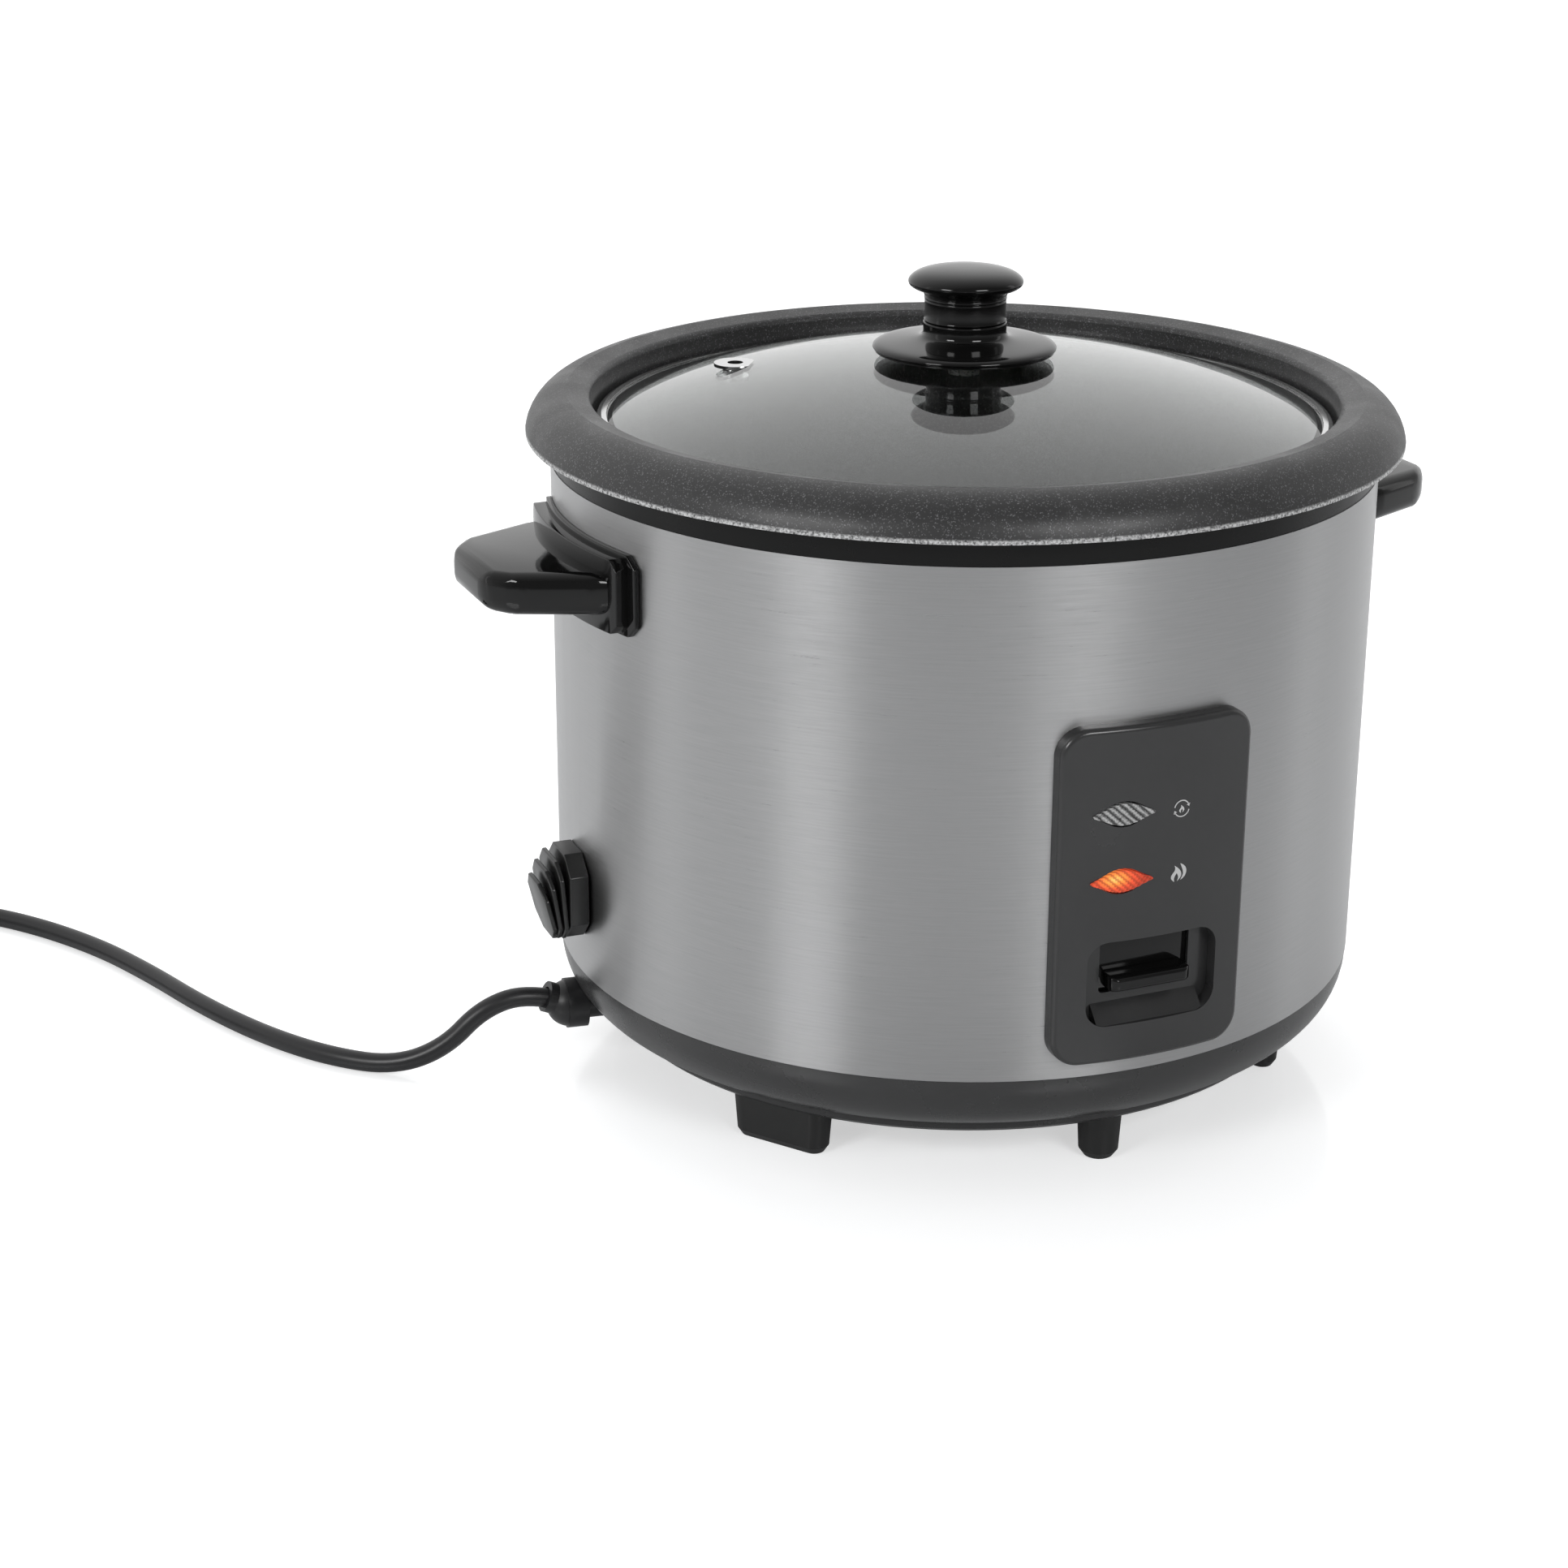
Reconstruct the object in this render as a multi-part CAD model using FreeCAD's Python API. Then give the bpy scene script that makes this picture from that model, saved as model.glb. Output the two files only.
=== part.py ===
import FreeCAD, Part
import math
import os

# Rice cooker, in millimetres.  +Z is up, the front (control panel) faces -Y, the origin is on the
# surface under the middle of the body.  The pot and its glass lid lift out along +Z.

os.makedirs("parts", exist_ok=True)

UP = FreeCAD.Vector(0, 0, 1)
ORIGIN = FreeCAD.Vector(0, 0, 0)

# ---- driving dimensions ----
SHELL_R = 118.0          # outside radius of the steel shell
SHELL_T = 0.6            # sheet thickness of the shell
FOOT_H = 14.0            # the feet lift the base this far
BASE_TOP = 36.0          # where the shell stands on the base
SHELL_TOP = 179.6
COLLAR_TOP = 187.5
PLATE_TOP = 66.0         # the pot stands on the heating plate
PLATE_R = 82.0
LINER_R = 110.1          # inside radius of the liner
LINER_T = 0.4
LINER_FLOOR = 46.6
POT_R = 103.0            # outside radius of the pot wall
POT_T = 1.5
RIM_R = 124.9            # the pot's flange reaches this far
RIM_LOW = 187.4
RIM_TOP = 199.0
LEDGE = 188.0            # the lid lies on this step inside the rim
STEP_R = 106.3           # the pot widens to this radius above the step
LID_R = 104.5
GLASS_APEX = 208.0
GLASS_T = 4.0
KNOB_TOP = 233.0
CHASSIS = 17.2           # top face of the chassis plate inside the base
CORD_R = 2.9

# control panel
PANEL_W = 56.6
PANEL_LOW = 41.0
PANEL_HIGH = 136.5
PANEL_R = 122.2
RECESS_W = 39.0
RECESS_LOW = 52.0
RECESS_HIGH = 76.4
LENS_X = -10.8
LENS_WARM_Z = 112.4
LENS_COOK_Z = 93.6

# switch lever: a bar on a pin, paddle in front, magnet rod at the back
PIVOT_Y = -32.0
PIVOT_Z = 33.5
PIN_R = 1.5
BAR_LOW = 35.5
BAR_T = 1.5


def v(x, y, z):
    return FreeCAD.Vector(x, y, z)


def save(name, shape):
    shape.exportStep("parts/" + name + ".step")
    count = len(shape.Solids)
    print("%-18s %2d solid(s) %9.1f mm3 valid %s" % (name, count, shape.Volume, shape.isValid()))


def cylinder(radius, low, high, x=0.0, y=0.0):
    return Part.makeCylinder(radius, high - low, v(x, y, low), UP)


def tube(outer, inner, low, high, x=0.0, y=0.0):
    return cylinder(outer, low, high, x, y).cut(cylinder(inner, low - 1, high + 1, x, y))


def box(x0, x1, y0, y1, z0, z1):
    return Part.makeBox(x1 - x0, y1 - y0, z1 - z0, v(x0, y0, z0))


def outline(points, place):
    """Closed wire of straight sides and arcs.  A point is (a, b); an arc is (mid, end)."""
    edges = []
    here = points[0]
    for step in points[1:] + [points[0]]:
        if isinstance(step[0], tuple):
            edges.append(Part.Arc(place(here), place(step[0]), place(step[1])).toShape())
            here = step[1]
        elif step != here:
            edges.append(Part.LineSegment(place(here), place(step)).toShape())
            here = step
    return Part.Wire(edges)


def turned(points):
    """Solid of revolution about Z from an outline in (radius, height)."""
    face = Part.Face(outline(points, lambda p: v(p[0], 0, p[1])))
    return face.revolve(ORIGIN, UP, 360)


def around(shape, degrees):
    """The shape turned about the vertical axis; positive goes from the front towards +X."""
    copy = shape.copy()
    copy.rotate(ORIGIN, UP, degrees)
    return copy


def front_prism(points, y0, y1):
    """An outline in (x, z), given depth along Y."""
    face = Part.Face(outline(points, lambda p: v(p[0], y0, p[1])))
    return face.extrude(v(0, y1 - y0, 0))


def rounded(width, low, high, radius, x=0.0):
    """Rounded rectangle as an outline, centred on x."""
    a = width / 2.0
    k = radius * (1 - math.sqrt(0.5))
    return [(x - a + radius, low), (x + a - radius, low),
            ((x + a - k, low + k), (x + a, low + radius)), (x + a, high - radius),
            ((x + a - k, high - k), (x + a - radius, high)), (x - a + radius, high),
            ((x - a + k, high - k), (x - a, high - radius)), (x - a, low + radius),
            ((x - a + k, low + k), (x - a + radius, low))]


def chamfered(width, low, high, cut):
    a = width / 2.0
    return [(-a + cut, low), (a - cut, low), (a, low + cut), (a, high - cut),
            (a - cut, high), (-a + cut, high), (-a, high - cut), (-a, low + cut)]


def softened(shape, radius, wanted):
    """Rounds the edges that the test picks out."""
    edges = [e for e in shape.Edges if wanted(e)]
    return shape.makeFillet(radius, edges)


def group(shapes):
    return Part.makeCompound(shapes)


def ring_wall(inner, outer):
    """The space between two upright cylinders, for cutting bent plates out of prisms."""
    return tube(outer, inner, 0, 260)


# ---- steel shell, black collar and liner ----
panel_window = front_prism(rounded(46, 44, 122, 3), -125, -105)
handle_azimuths = (-8.0, 8.0)
shell = tube(SHELL_R, SHELL_R - SHELL_T, BASE_TOP, SHELL_TOP).cut(panel_window)
for side in (-90, 90):
    for lean in handle_azimuths:
        drill = Part.makeCylinder(1.6, 30, v(0, -105, 158.5), v(0, -1, 0))
        shell = shell.cut(around(drill, side + lean))
peg_holes = []
for height in (54.0, 68.0):
    peg_holes.append(Part.makeCylinder(2.0, 30, v(0, -105, height), v(0, -1, 0)))
HOLDER_AZ = -92.0
for peg in peg_holes:
    shell = shell.cut(around(peg, HOLDER_AZ))
save("outer_shell", shell)

collar = turned([(113.0, 183.0), (115.6, 183.0), (115.6, 171.0), (117.3, 171.0), (117.3, SHELL_TOP),
                 (117.8, SHELL_TOP), (117.8, 186.8), (117.1, COLLAR_TOP), (113.0, COLLAR_TOP)])
save("upper_collar", collar)

liner_out = LINER_R + LINER_T
liner_top = COLLAR_TOP + LINER_T
liner_base = LINER_FLOOR + LINER_T
liner = turned([(0, LINER_FLOOR), (liner_out - 4, LINER_FLOOR), (liner_out, LINER_FLOOR + 4),
                (liner_out, COLLAR_TOP), (116.4, COLLAR_TOP), (116.4, liner_top), (LINER_R, liner_top),
                (LINER_R, LINER_FLOOR + 4.2), (LINER_R - 3.8, liner_base), (0, liner_base)])
liner = liner.cut(cylinder(3.4, 40, 50))
LEG_RING = 62.0
LEG_AZ = (0, 120, 240)
POST_RING = 75.0
POST_AZ = (60, 180, 300)
TERMINAL_AZ = (168, 192)
TERMINAL_RING = 45.0


def at(radius, azimuth, z=0.0):
    """A point at an azimuth measured from the front towards +X."""
    a = math.radians(azimuth)
    return v(radius * math.sin(a), -radius * math.cos(a), z)


for azimuth in LEG_AZ:
    p = at(LEG_RING, azimuth)
    liner = liner.cut(cylinder(1.7, 40, 50, p.x, p.y))
for azimuth in POST_AZ:
    p = at(POST_RING, azimuth)
    liner = liner.cut(cylinder(1.7, 40, 50, p.x, p.y))
for azimuth in TERMINAL_AZ:
    p = at(TERMINAL_RING, azimuth)
    liner = liner.cut(cylinder(5.0, 40, 50, p.x, p.y))
save("heat_liner", liner)

# ---- black base, chassis plate and feet ----
WALL = 2.2
base = turned([(117.7, BASE_TOP), ((111.9, 21.4), (104.4, 17.6)), (103.9, 15.0), (102.9, FOOT_H),
               (82.0, FOOT_H), (82.0, FOOT_H + WALL), (100.8, FOOT_H + WALL), (102.6, 18.8),
               ((110.1, 22.8), (115.2, BASE_TOP)), (115.2, BASE_TOP + 5), (117.2, BASE_TOP + 5),
               (117.2, BASE_TOP)])
GLAND_AZ = -98.0
GLAND_BALL = at(118.2, GLAND_AZ, 19.5)
inward = at(-1.0, GLAND_AZ)
GLAND_STEM = Part.makeCylinder(5.0, 20, GLAND_BALL, inward)
base = base.cut(Part.makeCylinder(5.0, 30, at(122, GLAND_AZ, 19.5), inward))

chassis = cylinder(100.0, FOOT_H + WALL, CHASSIS)
chassis = chassis.cut(Part.makeCylinder(5.6, 30, at(122, GLAND_AZ, 19.5), inward))
ROUND_FEET = (0, 180)
WIDE_FEET = (-55, 55, -125, 125)
FOOT_RING = 96.0
for azimuth in ROUND_FEET + WIDE_FEET:
    p = at(FOOT_RING, azimuth)
    base = base.cut(cylinder(1.6, 10, 20, p.x, p.y))
    chassis = chassis.cut(cylinder(1.6, 10, 20, p.x, p.y))
for azimuth in POST_AZ:
    p = at(POST_RING, azimuth)
    chassis = chassis.cut(cylinder(1.7, 10, 20, p.x, p.y))
for azimuth in range(0, 360, 15):
    louvre = box(-2.0, 2.0, -66.0, -44.0, 10, 20)
    if azimuth % 90:
        chassis = chassis.cut(around(louvre, azimuth))
save("base_tray", base)
save("chassis_plate", chassis)


def stadium(length, width, z):
    """Flat oval wire centred on the foot ring at the front."""
    a = (length - width) / 2.0
    r = width / 2.0
    points = [(-a, -r), (a, -r), ((a + r, 0), (a, r)), (-a, r), ((-a - r, 0), (-a, -r))]
    return outline(points, lambda p: v(p[0], p[1] - FOOT_RING, z))


def foot_screw_hole():
    return cylinder(1.4, FOOT_H - 8, FOOT_H + 1, 0, -FOOT_RING)


SOLE = 2.0
wide_foot = Part.makeLoft([stadium(29.0, 8.6, SOLE), stadium(31.0, 9.6, FOOT_H)], True)
wide_foot = wide_foot.fuse(Part.makeLoft([stadium(26.4, 6.0, 0), stadium(29.0, 8.6, SOLE)], True))
wide_foot = wide_foot.cut(foot_screw_hole())
round_foot = Part.makeCone(5.6, 6.3, FOOT_H - SOLE, v(0, -FOOT_RING, SOLE), UP)
round_foot = round_foot.fuse(Part.makeCone(4.2, 5.6, SOLE, v(0, -FOOT_RING, 0), UP))
round_foot = round_foot.cut(foot_screw_hole())
foot_names = {0: "foot_front", 180: "foot_back", -55: "foot_front_left", 55: "foot_front_right",
              -125: "foot_back_left", 125: "foot_back_right"}
for azimuth in ROUND_FEET:
    save(foot_names[azimuth], around(round_foot, azimuth))
for azimuth in WIDE_FEET:
    save(foot_names[azimuth], around(wide_foot, azimuth))


def screw(shank, length, head, head_height):
    """A screw that points down from z = 0, with its head above."""
    body = cylinder(shank, -length, 0).fuse(cylinder(head, 0, head_height))
    slot = box(-head * 0.7, head * 0.7, -0.4, 0.4, head_height - 0.8, head_height + 1)
    return body.cut(slot)


def moved(shape, x, y, z):
    copy = shape.copy()
    copy.translate(v(x, y, z))
    return copy


foot_screws = []
for azimuth in ROUND_FEET + WIDE_FEET:
    foot_screws.append(around(moved(screw(1.4, 10, 2.8, 2.0), 0, -FOOT_RING, CHASSIS), azimuth))
save("foot_screws", group(foot_screws))

# ---- posts that carry the liner, heating plate and its element ----
posts = []
post_screws = []
for azimuth in POST_AZ:
    p = at(POST_RING, azimuth)
    posts.append(tube(4.5, 1.6, CHASSIS, LINER_FLOOR, p.x, p.y))
    post_screws.append(moved(screw(1.6, 12, 3.2, 2.0), p.x, p.y, LINER_FLOOR + LINER_T))
save("liner_posts", group(posts))
save("post_screws", group(post_screws))

PLATE_LOW = 54.0
heating_plate = turned([(17.0, PLATE_LOW), (PLATE_R - 2, PLATE_LOW), (PLATE_R, PLATE_LOW + 3),
                        (PLATE_R, PLATE_TOP - 3), (PLATE_R - 3, PLATE_TOP), (17.0, PLATE_TOP)])
for azimuth in LEG_AZ:
    p = at(LEG_RING, azimuth)
    leg = cylinder(5.0, LINER_FLOOR + LINER_T, PLATE_LOW + 1, p.x, p.y)
    heating_plate = heating_plate.fuse(leg).cut(cylinder(1.6, 40, PLATE_LOW, p.x, p.y))
ELEMENT_R = 3.6
element_z = PLATE_LOW + 2.5
ring = Part.makeTorus(TERMINAL_RING, ELEMENT_R, v(0, 0, element_z), UP)
sector = Part.makeCylinder(70, 40, v(0, 0, 40), UP, TERMINAL_AZ[1] - TERMINAL_AZ[0])
sector.rotate(ORIGIN, UP, 90 - (TERMINAL_AZ[1] - TERMINAL_AZ[0]) / 2.0)
element = ring.cut(sector)
for azimuth in TERMINAL_AZ:
    p = at(TERMINAL_RING, azimuth)
    element = element.fuse(cylinder(ELEMENT_R + 0.4, 40, element_z + ELEMENT_R + 0.4, p.x, p.y))
    element = element.fuse(cylinder(1.5, 34, 40, p.x, p.y))
element = element.removeSplitter()
heating_plate = heating_plate.cut(element).removeSplitter()
save("heating_plate", heating_plate)
save("heating_element", element)

leg_screws = []
for azimuth in LEG_AZ:
    p = at(LEG_RING, azimuth)
    flipped = screw(1.6, 6, 3.2, 1.8)
    flipped.rotate(ORIGIN, v(1, 0, 0), 180)
    leg_screws.append(moved(flipped, p.x, p.y, LINER_FLOOR))
save("plate_screws", group(leg_screws))

# ---- thermostat: sensor cap on a spring, ferrite, magnet on a rod ----
CAP_R = 15.5
sensor_cap = turned([(0, PLATE_TOP - 1), (CAP_R - 0.8, PLATE_TOP - 1), (CAP_R - 0.8, 51.0), (CAP_R, 51.0),
                     (CAP_R, PLATE_TOP - 0.6), (CAP_R - 0.6, PLATE_TOP), (0, PLATE_TOP)])
save("sensor_cap", sensor_cap)
save("ferrite_disc", cylinder(9.0, PLATE_TOP - 5, PLATE_TOP - 1))
MAGNET_LOW = 56.4
ROD_R = 2.2
magnet = cylinder(8.5, MAGNET_LOW, PLATE_TOP - 5.4)
rod = cylinder(ROD_R, 30.0, MAGNET_LOW).fuse(cylinder(5.5, 37.9, 39.4)).fuse(cylinder(5.5, 32.6, 34.6))
save("magnet", magnet)
save("magnet_rod", rod)
guide = tube(14.0, 2.6, LINER_FLOOR - 1.6, LINER_FLOOR)
save("rod_guide", guide)


def coil_spring(radius, wire, low, high, turns):
    height = high - low - 2 * wire
    helix = Part.makeHelix(height / turns, height, radius)
    helix.translate(v(0, 0, low + wire))
    section = Part.Wire([Part.makeCircle(wire, v(radius, 0, low + wire), v(0, 1, 0))])
    return Part.Wire(helix).makePipeShell([section], True, True)


save("sensor_spring", coil_spring(11.8, 0.6, LINER_FLOOR + LINER_T, PLATE_TOP - 1.2, 5))
save("release_spring", coil_spring(4.0, 0.35, 39.5, LINER_FLOOR - 1.7, 4))

# ---- switch lever ----
ARM_FRONT = -114.9
ARM_T = 1.0
bar_high = BAR_LOW + BAR_T
arm_back = ARM_FRONT + ARM_T
arm_profile = [(ARM_FRONT, 66.0), (ARM_FRONT, 50.0), (-111.5, 38.5), (-108.5, BAR_LOW), (6.0, BAR_LOW),
               (6.0, bar_high), (-108.0, bar_high), (-110.4, 39.0), (arm_back, 50.4), (arm_back, 66.0)]
arm_face = Part.Face(outline(arm_profile, lambda p: v(-6, p[0], p[1])))
lever = arm_face.extrude(v(12, 0, 0))
lever = lever.fuse(box(-11.5, 11.5, ARM_FRONT, ARM_FRONT + ARM_T, 59.5, 66.5))
knuckle = Part.makeCylinder(3.2, 13, v(-6.5, PIVOT_Y, PIVOT_Z), v(1, 0, 0))
pin_bore = Part.makeCylinder(PIN_R + 0.05, 40, v(-20, PIVOT_Y, PIVOT_Z), v(1, 0, 0))
lever = lever.fuse(knuckle).cut(pin_bore).cut(cylinder(3.3, 30, 40)).removeSplitter()
save("switch_lever", lever)

paddle_profile = [(ARM_FRONT, 61.4), (-118.6, 61.4), (-119.2, 60.8), ((-121.3, 61.4), (-121.5, 63.2)),
                  ((-121.0, 65.0), (-119.2, 65.4)), (ARM_FRONT, 65.4)]
paddle_face = Part.Face(outline(paddle_profile, lambda p: v(-12, p[0], p[1])))
paddle = paddle_face.extrude(v(24, 0, 0))
save("lever_paddle", paddle.common(front_prism(rounded(24.0, 60.8, 65.4, 1.5), -130, -100)))

cheek = front_prism([(8.0, CHASSIS), (9.5, CHASSIS), (9.5, 36.5), (8.0, 36.5)], PIVOT_Y - 5, PIVOT_Y + 5)
other_cheek = cheek.mirror(ORIGIN, v(1, 0, 0))
bracket = cheek.fuse(other_cheek).fuse(box(-9.5, 9.5, PIVOT_Y - 5, PIVOT_Y + 5, CHASSIS, CHASSIS + 1.5))
pin = Part.makeCylinder(PIN_R, 23, v(-11.5, PIVOT_Y, PIVOT_Z), v(1, 0, 0))
bracket = bracket.cut(pin).removeSplitter()
save("pivot_bracket", bracket)
save("pivot_pin", pin)

SWITCH_Y = -66.0
switch_body = box(-5, 5, SWITCH_Y - 10, SWITCH_Y + 10, CHASSIS, 32.6)
switch_body = switch_body.cut(box(-2.3, 2.3, SWITCH_Y - 2.8, SWITCH_Y + 2.8, 29.0, 33.0))
save("microswitch", switch_body)
save("switch_button", box(-2.0, 2.0, SWITCH_Y - 2.5, SWITCH_Y + 2.5, 30.2, BAR_LOW - 0.2))

# ---- wiring inside the base ----


def bent_tube(points, radius):
    """Round tube along straight runs joined by tangent arcs; returns it with its centre length."""
    edges = []
    here = points[0]
    length = 0.0
    for i in range(1, len(points) - 1):
        before = points[i - 1] - points[i]
        after = points[i + 1] - points[i]
        half = before.getAngle(after) / 2.0
        reach = 0.45 * min(before.Length, after.Length)
        bend = reach * math.tan(half)
        first = points[i] + before.normalize() * reach
        last = points[i] + after.normalize() * reach
        middle_way = (before + after).normalize()
        mid = points[i] + middle_way * (bend / math.sin(half) - bend)
        edges.append(Part.LineSegment(here, first).toShape())
        edges.append(Part.Arc(first, mid, last).toShape())
        length += (first - here).Length + bend * (math.pi - 2 * half)
        print("   bend radius %.1f mm" % bend)
        here = last
    edges.append(Part.LineSegment(here, points[-1]).toShape())
    length += (points[-1] - here).Length
    path = Part.Wire(edges)
    start = points[1] - points[0]
    section = Part.Wire([Part.makeCircle(radius, points[0], start)])
    solid = path.makePipeShell([section], True, False)
    print("   length %.1f mm, volume %.0f mm3, section x length %.0f mm3"
          % (length, solid.Volume, math.pi * radius * radius * length))
    return solid


BLOCK_HALF = 20.0
BLOCK_FRONT = 52.0
BLOCK_MID = 60.0
block = box(-BLOCK_HALF, BLOCK_HALF, BLOCK_FRONT, 68.0, CHASSIS, 29.0)
for x in (-15, -5, 5, 15):
    block = block.cut(cylinder(2.0, 24, 30, x, BLOCK_MID))
save("terminal_block", block)
terminal_screws = [moved(screw(1.5, 3, 1.9, 1.4), x, BLOCK_MID, 27.0) for x in (-15, -5, 5, 15)]
save("terminal_screws", group(terminal_screws))
FUSE_Z = CHASSIS + 2.6
fuse_body = Part.makeCylinder(2.6, 26, v(32, 20, FUSE_Z), v(0, 1, 0))
save("thermal_fuse", fuse_body)
WIRE_R = 1.1
left_pin = at(TERMINAL_RING, TERMINAL_AZ[1], 33.9)
right_pin = at(TERMINAL_RING, TERMINAL_AZ[0], 33.9)
leads = [
    bent_tube([left_pin, left_pin + v(0, 0, -10), v(-15, 46, 20.5), v(-15, BLOCK_FRONT - 0.1, 20.5)],
              WIRE_R),
    bent_tube([right_pin, right_pin + v(0, 0, -11), v(20, 46, 20.5), v(28, 51, FUSE_Z), v(32, 51, FUSE_Z),
               v(32, 46.1, FUSE_Z)], WIRE_R),
    bent_tube([v(32, 19.9, FUSE_Z), v(32, -20, FUSE_Z), v(24, -52, 21.0), v(12, -62, 24.0),
               v(5.1, -62, 24.0)], WIRE_R),
    bent_tube([v(-5.1, -62, 24.0), v(-12, -62, 24.0), v(-26, -48, 20.5), v(-36, 10, 20.5), v(-32, 50, 22.0),
               v(-27, BLOCK_MID, 22.0), v(-BLOCK_HALF - 0.1, BLOCK_MID, 22.0)], WIRE_R),
]
save("inner_wires", group(leads))

# ---- control panel ----
panel_wall = ring_wall(SHELL_R, PANEL_R)
panel = front_prism(rounded(PANEL_W, PANEL_LOW, PANEL_HIGH, 8.0), -130, -90).common(panel_wall)


def on_outer_face(edge):
    middle = edge.valueAt((edge.FirstParameter + edge.LastParameter) / 2)
    points = [vert.Point for vert in edge.Vertexes] + [middle]
    return all(abs(math.hypot(p.x, p.y) - PANEL_R) < 0.01 for p in points)


panel = softened(panel, 1.6, on_outer_face)
CUP_BACK = -116.4
CUP_WALL = 1.1
mouth = front_prism(rounded(RECESS_W, RECESS_LOW, RECESS_HIGH, 6.0), -130, -100)
cup_outline = rounded(RECESS_W + 2 * CUP_WALL, RECESS_LOW - CUP_WALL, RECESS_HIGH + CUP_WALL, 7.1)
cup_side = front_prism(cup_outline, -119.6, CUP_BACK + CUP_WALL)
pocket = front_prism(rounded(RECESS_W, RECESS_LOW, RECESS_HIGH, 6.0), -130, CUP_BACK)
ramp_profile = [(-121.0, RECESS_LOW), (CUP_BACK, RECESS_LOW), (CUP_BACK, RECESS_LOW + 5.0)]
ramp_face = Part.Face(outline(ramp_profile, lambda p: v(-16, p[0], p[1])))
ramp = ramp_face.extrude(v(32, 0, 0))
panel = panel.cut(mouth).fuse(cup_side.cut(pocket)).fuse(ramp)
paddle_slot = front_prism(rounded(27.0, 59.6, 74.6, 1.2), -118, -110)
panel = panel.cut(paddle_slot)


def lens_outline(grow, z):
    """Pointed oval of the indicator lenses, with flat flanks near its tips."""
    a = 8.8 + grow
    b = 3.5 + grow
    m = 4.0
    n = 0.72 * b
    return [(LENS_X - a, z), (LENS_X - m, z - n), ((LENS_X, z - b), (LENS_X + m, z - n)), (LENS_X + a, z),
            (LENS_X + m, z + n), ((LENS_X, z + b), (LENS_X - m, z + n))]


lens_wall = ring_wall(118.6, PANEL_R + 0.5)
for name, height in (("lens_keep_warm", LENS_WARM_Z), ("lens_cook", LENS_COOK_Z)):
    panel = panel.cut(front_prism(lens_outline(0.1, height), -130, -100))
    save(name, front_prism(lens_outline(0.0, height), -130, -100).common(lens_wall))
save("control_panel", panel.removeSplitter())

carrier = front_prism(rounded(24.0, 85.0, 121.0, 3.0, LENS_X), -118.6, -100)
carrier = carrier.common(ring_wall(115.4, 118.0))
carrier = carrier.common(front_prism(rounded(22.0, 85.0, 121.0, 3.0, LENS_X), -130, -100))
lamps = []
for height in (LENS_WARM_Z, LENS_COOK_Z):
    hole = Part.makeCylinder(2.6, 20, v(LENS_X, -125, height), v(0, 1, 0))
    carrier = carrier.cut(hole)
    lamp = Part.makeCylinder(2.6, 5.0, v(LENS_X, -117.2, height), v(0, 1, 0))
    lamps.append(lamp)
save("lamp_carrier", carrier)
save("lamp_keep_warm", lamps[0])
save("lamp_cook", lamps[1])

# ---- side handles ----
GRIP_LOW = 152.6
GRIP_HIGH = 164.4
HANDLE_Z = 158.4
BACK_R = 119.4
FRONT_R = 123.6


def plate(width, low, high, cut, inner, outer):
    return front_prism(chamfered(width, low, high, cut), -140, -90).common(ring_wall(inner, outer))


mount = plate(72.0, HANDLE_Z - 11.4, HANDLE_Z + 11.4, 4.5, SHELL_R, BACK_R)
front = plate(68.0, HANDLE_Z - 10.4, HANDLE_Z + 10.4, 4.0, BACK_R, FRONT_R)
plan = [(-30.5, -114.0), (-30.5, -120.5), (-21.5, -142.0), ((-18.8, -146.6), (-13.5, -148.7)),
        ((0, -149.6), (13.5, -148.7)), ((18.8, -146.6), (21.5, -142.0)), (30.5, -120.5), (30.5, -114.0)]
grip_face = Part.Face(outline(plan, lambda p: v(p[0], p[1], GRIP_LOW)))
grip = grip_face.extrude(v(0, 0, GRIP_HIGH - GRIP_LOW))


def long_grip_edge(edge):
    box_of = edge.BoundBox
    flat = box_of.ZLength < 0.01
    return flat and box_of.YMin < -119.0


grip = softened(grip, 3.4, long_grip_edge)
grip = grip.common(ring_wall(FRONT_R - 0.5, 160))
handle = mount.fuse(front).fuse(grip)
HEAD_FACE = SHELL_R - SHELL_T - 0.1      # the screw heads stop just inside the shell
handle_screws = []
for lean in handle_azimuths:
    bore = Part.makeCylinder(1.5, 12, v(0, -HEAD_FACE, 158.5), v(0, -1, 0))
    handle = handle.cut(around(bore, lean))
    pan = Part.makeCylinder(3.2, 2.0, v(0, -HEAD_FACE + 2.0, 158.5), v(0, -1, 0))
    handle_screws.append(around(bore.fuse(pan), lean))
handle = handle.removeSplitter()
save("handle_left", around(handle, -90))
save("handle_right", around(handle, 90))
save("handle_screws", group([around(s, side) for side in (-90, 90) for s in handle_screws]))

# ---- spoon holder on the left side ----
HOLDER_W = 22.0
HOLDER_LOW = 48.5
HOLDER_HIGH = 74.0
HOLDER_FACE = 123.6
holder = front_prism(chamfered(HOLDER_W, HOLDER_LOW, HOLDER_HIGH, 5.5), -HOLDER_FACE, -110)
holder = holder.cut(cylinder(SHELL_R, 0, 200))
for step, height in enumerate((24.0, 21.5, 18.0)):
    leaf_width = HOLDER_W - 1 - 1.5 * step
    leaf = front_prism(chamfered(leaf_width, HOLDER_LOW + 0.5, HOLDER_LOW + height, 4.5), -1.3, 0)
    leaf.rotate(v(0, 0, HOLDER_LOW), v(1, 0, 0), 4.5 * (step + 1))
    leaf.translate(v(0, -HOLDER_FACE - 1.25 * step + 0.1, 0))
    holder = holder.fuse(leaf)
foot_bar = front_prism(rounded(12.0, HOLDER_LOW + 0.4, HOLDER_LOW + 3.4, 1.2),
                       -HOLDER_FACE - 3.6, -HOLDER_FACE + 1)
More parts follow.
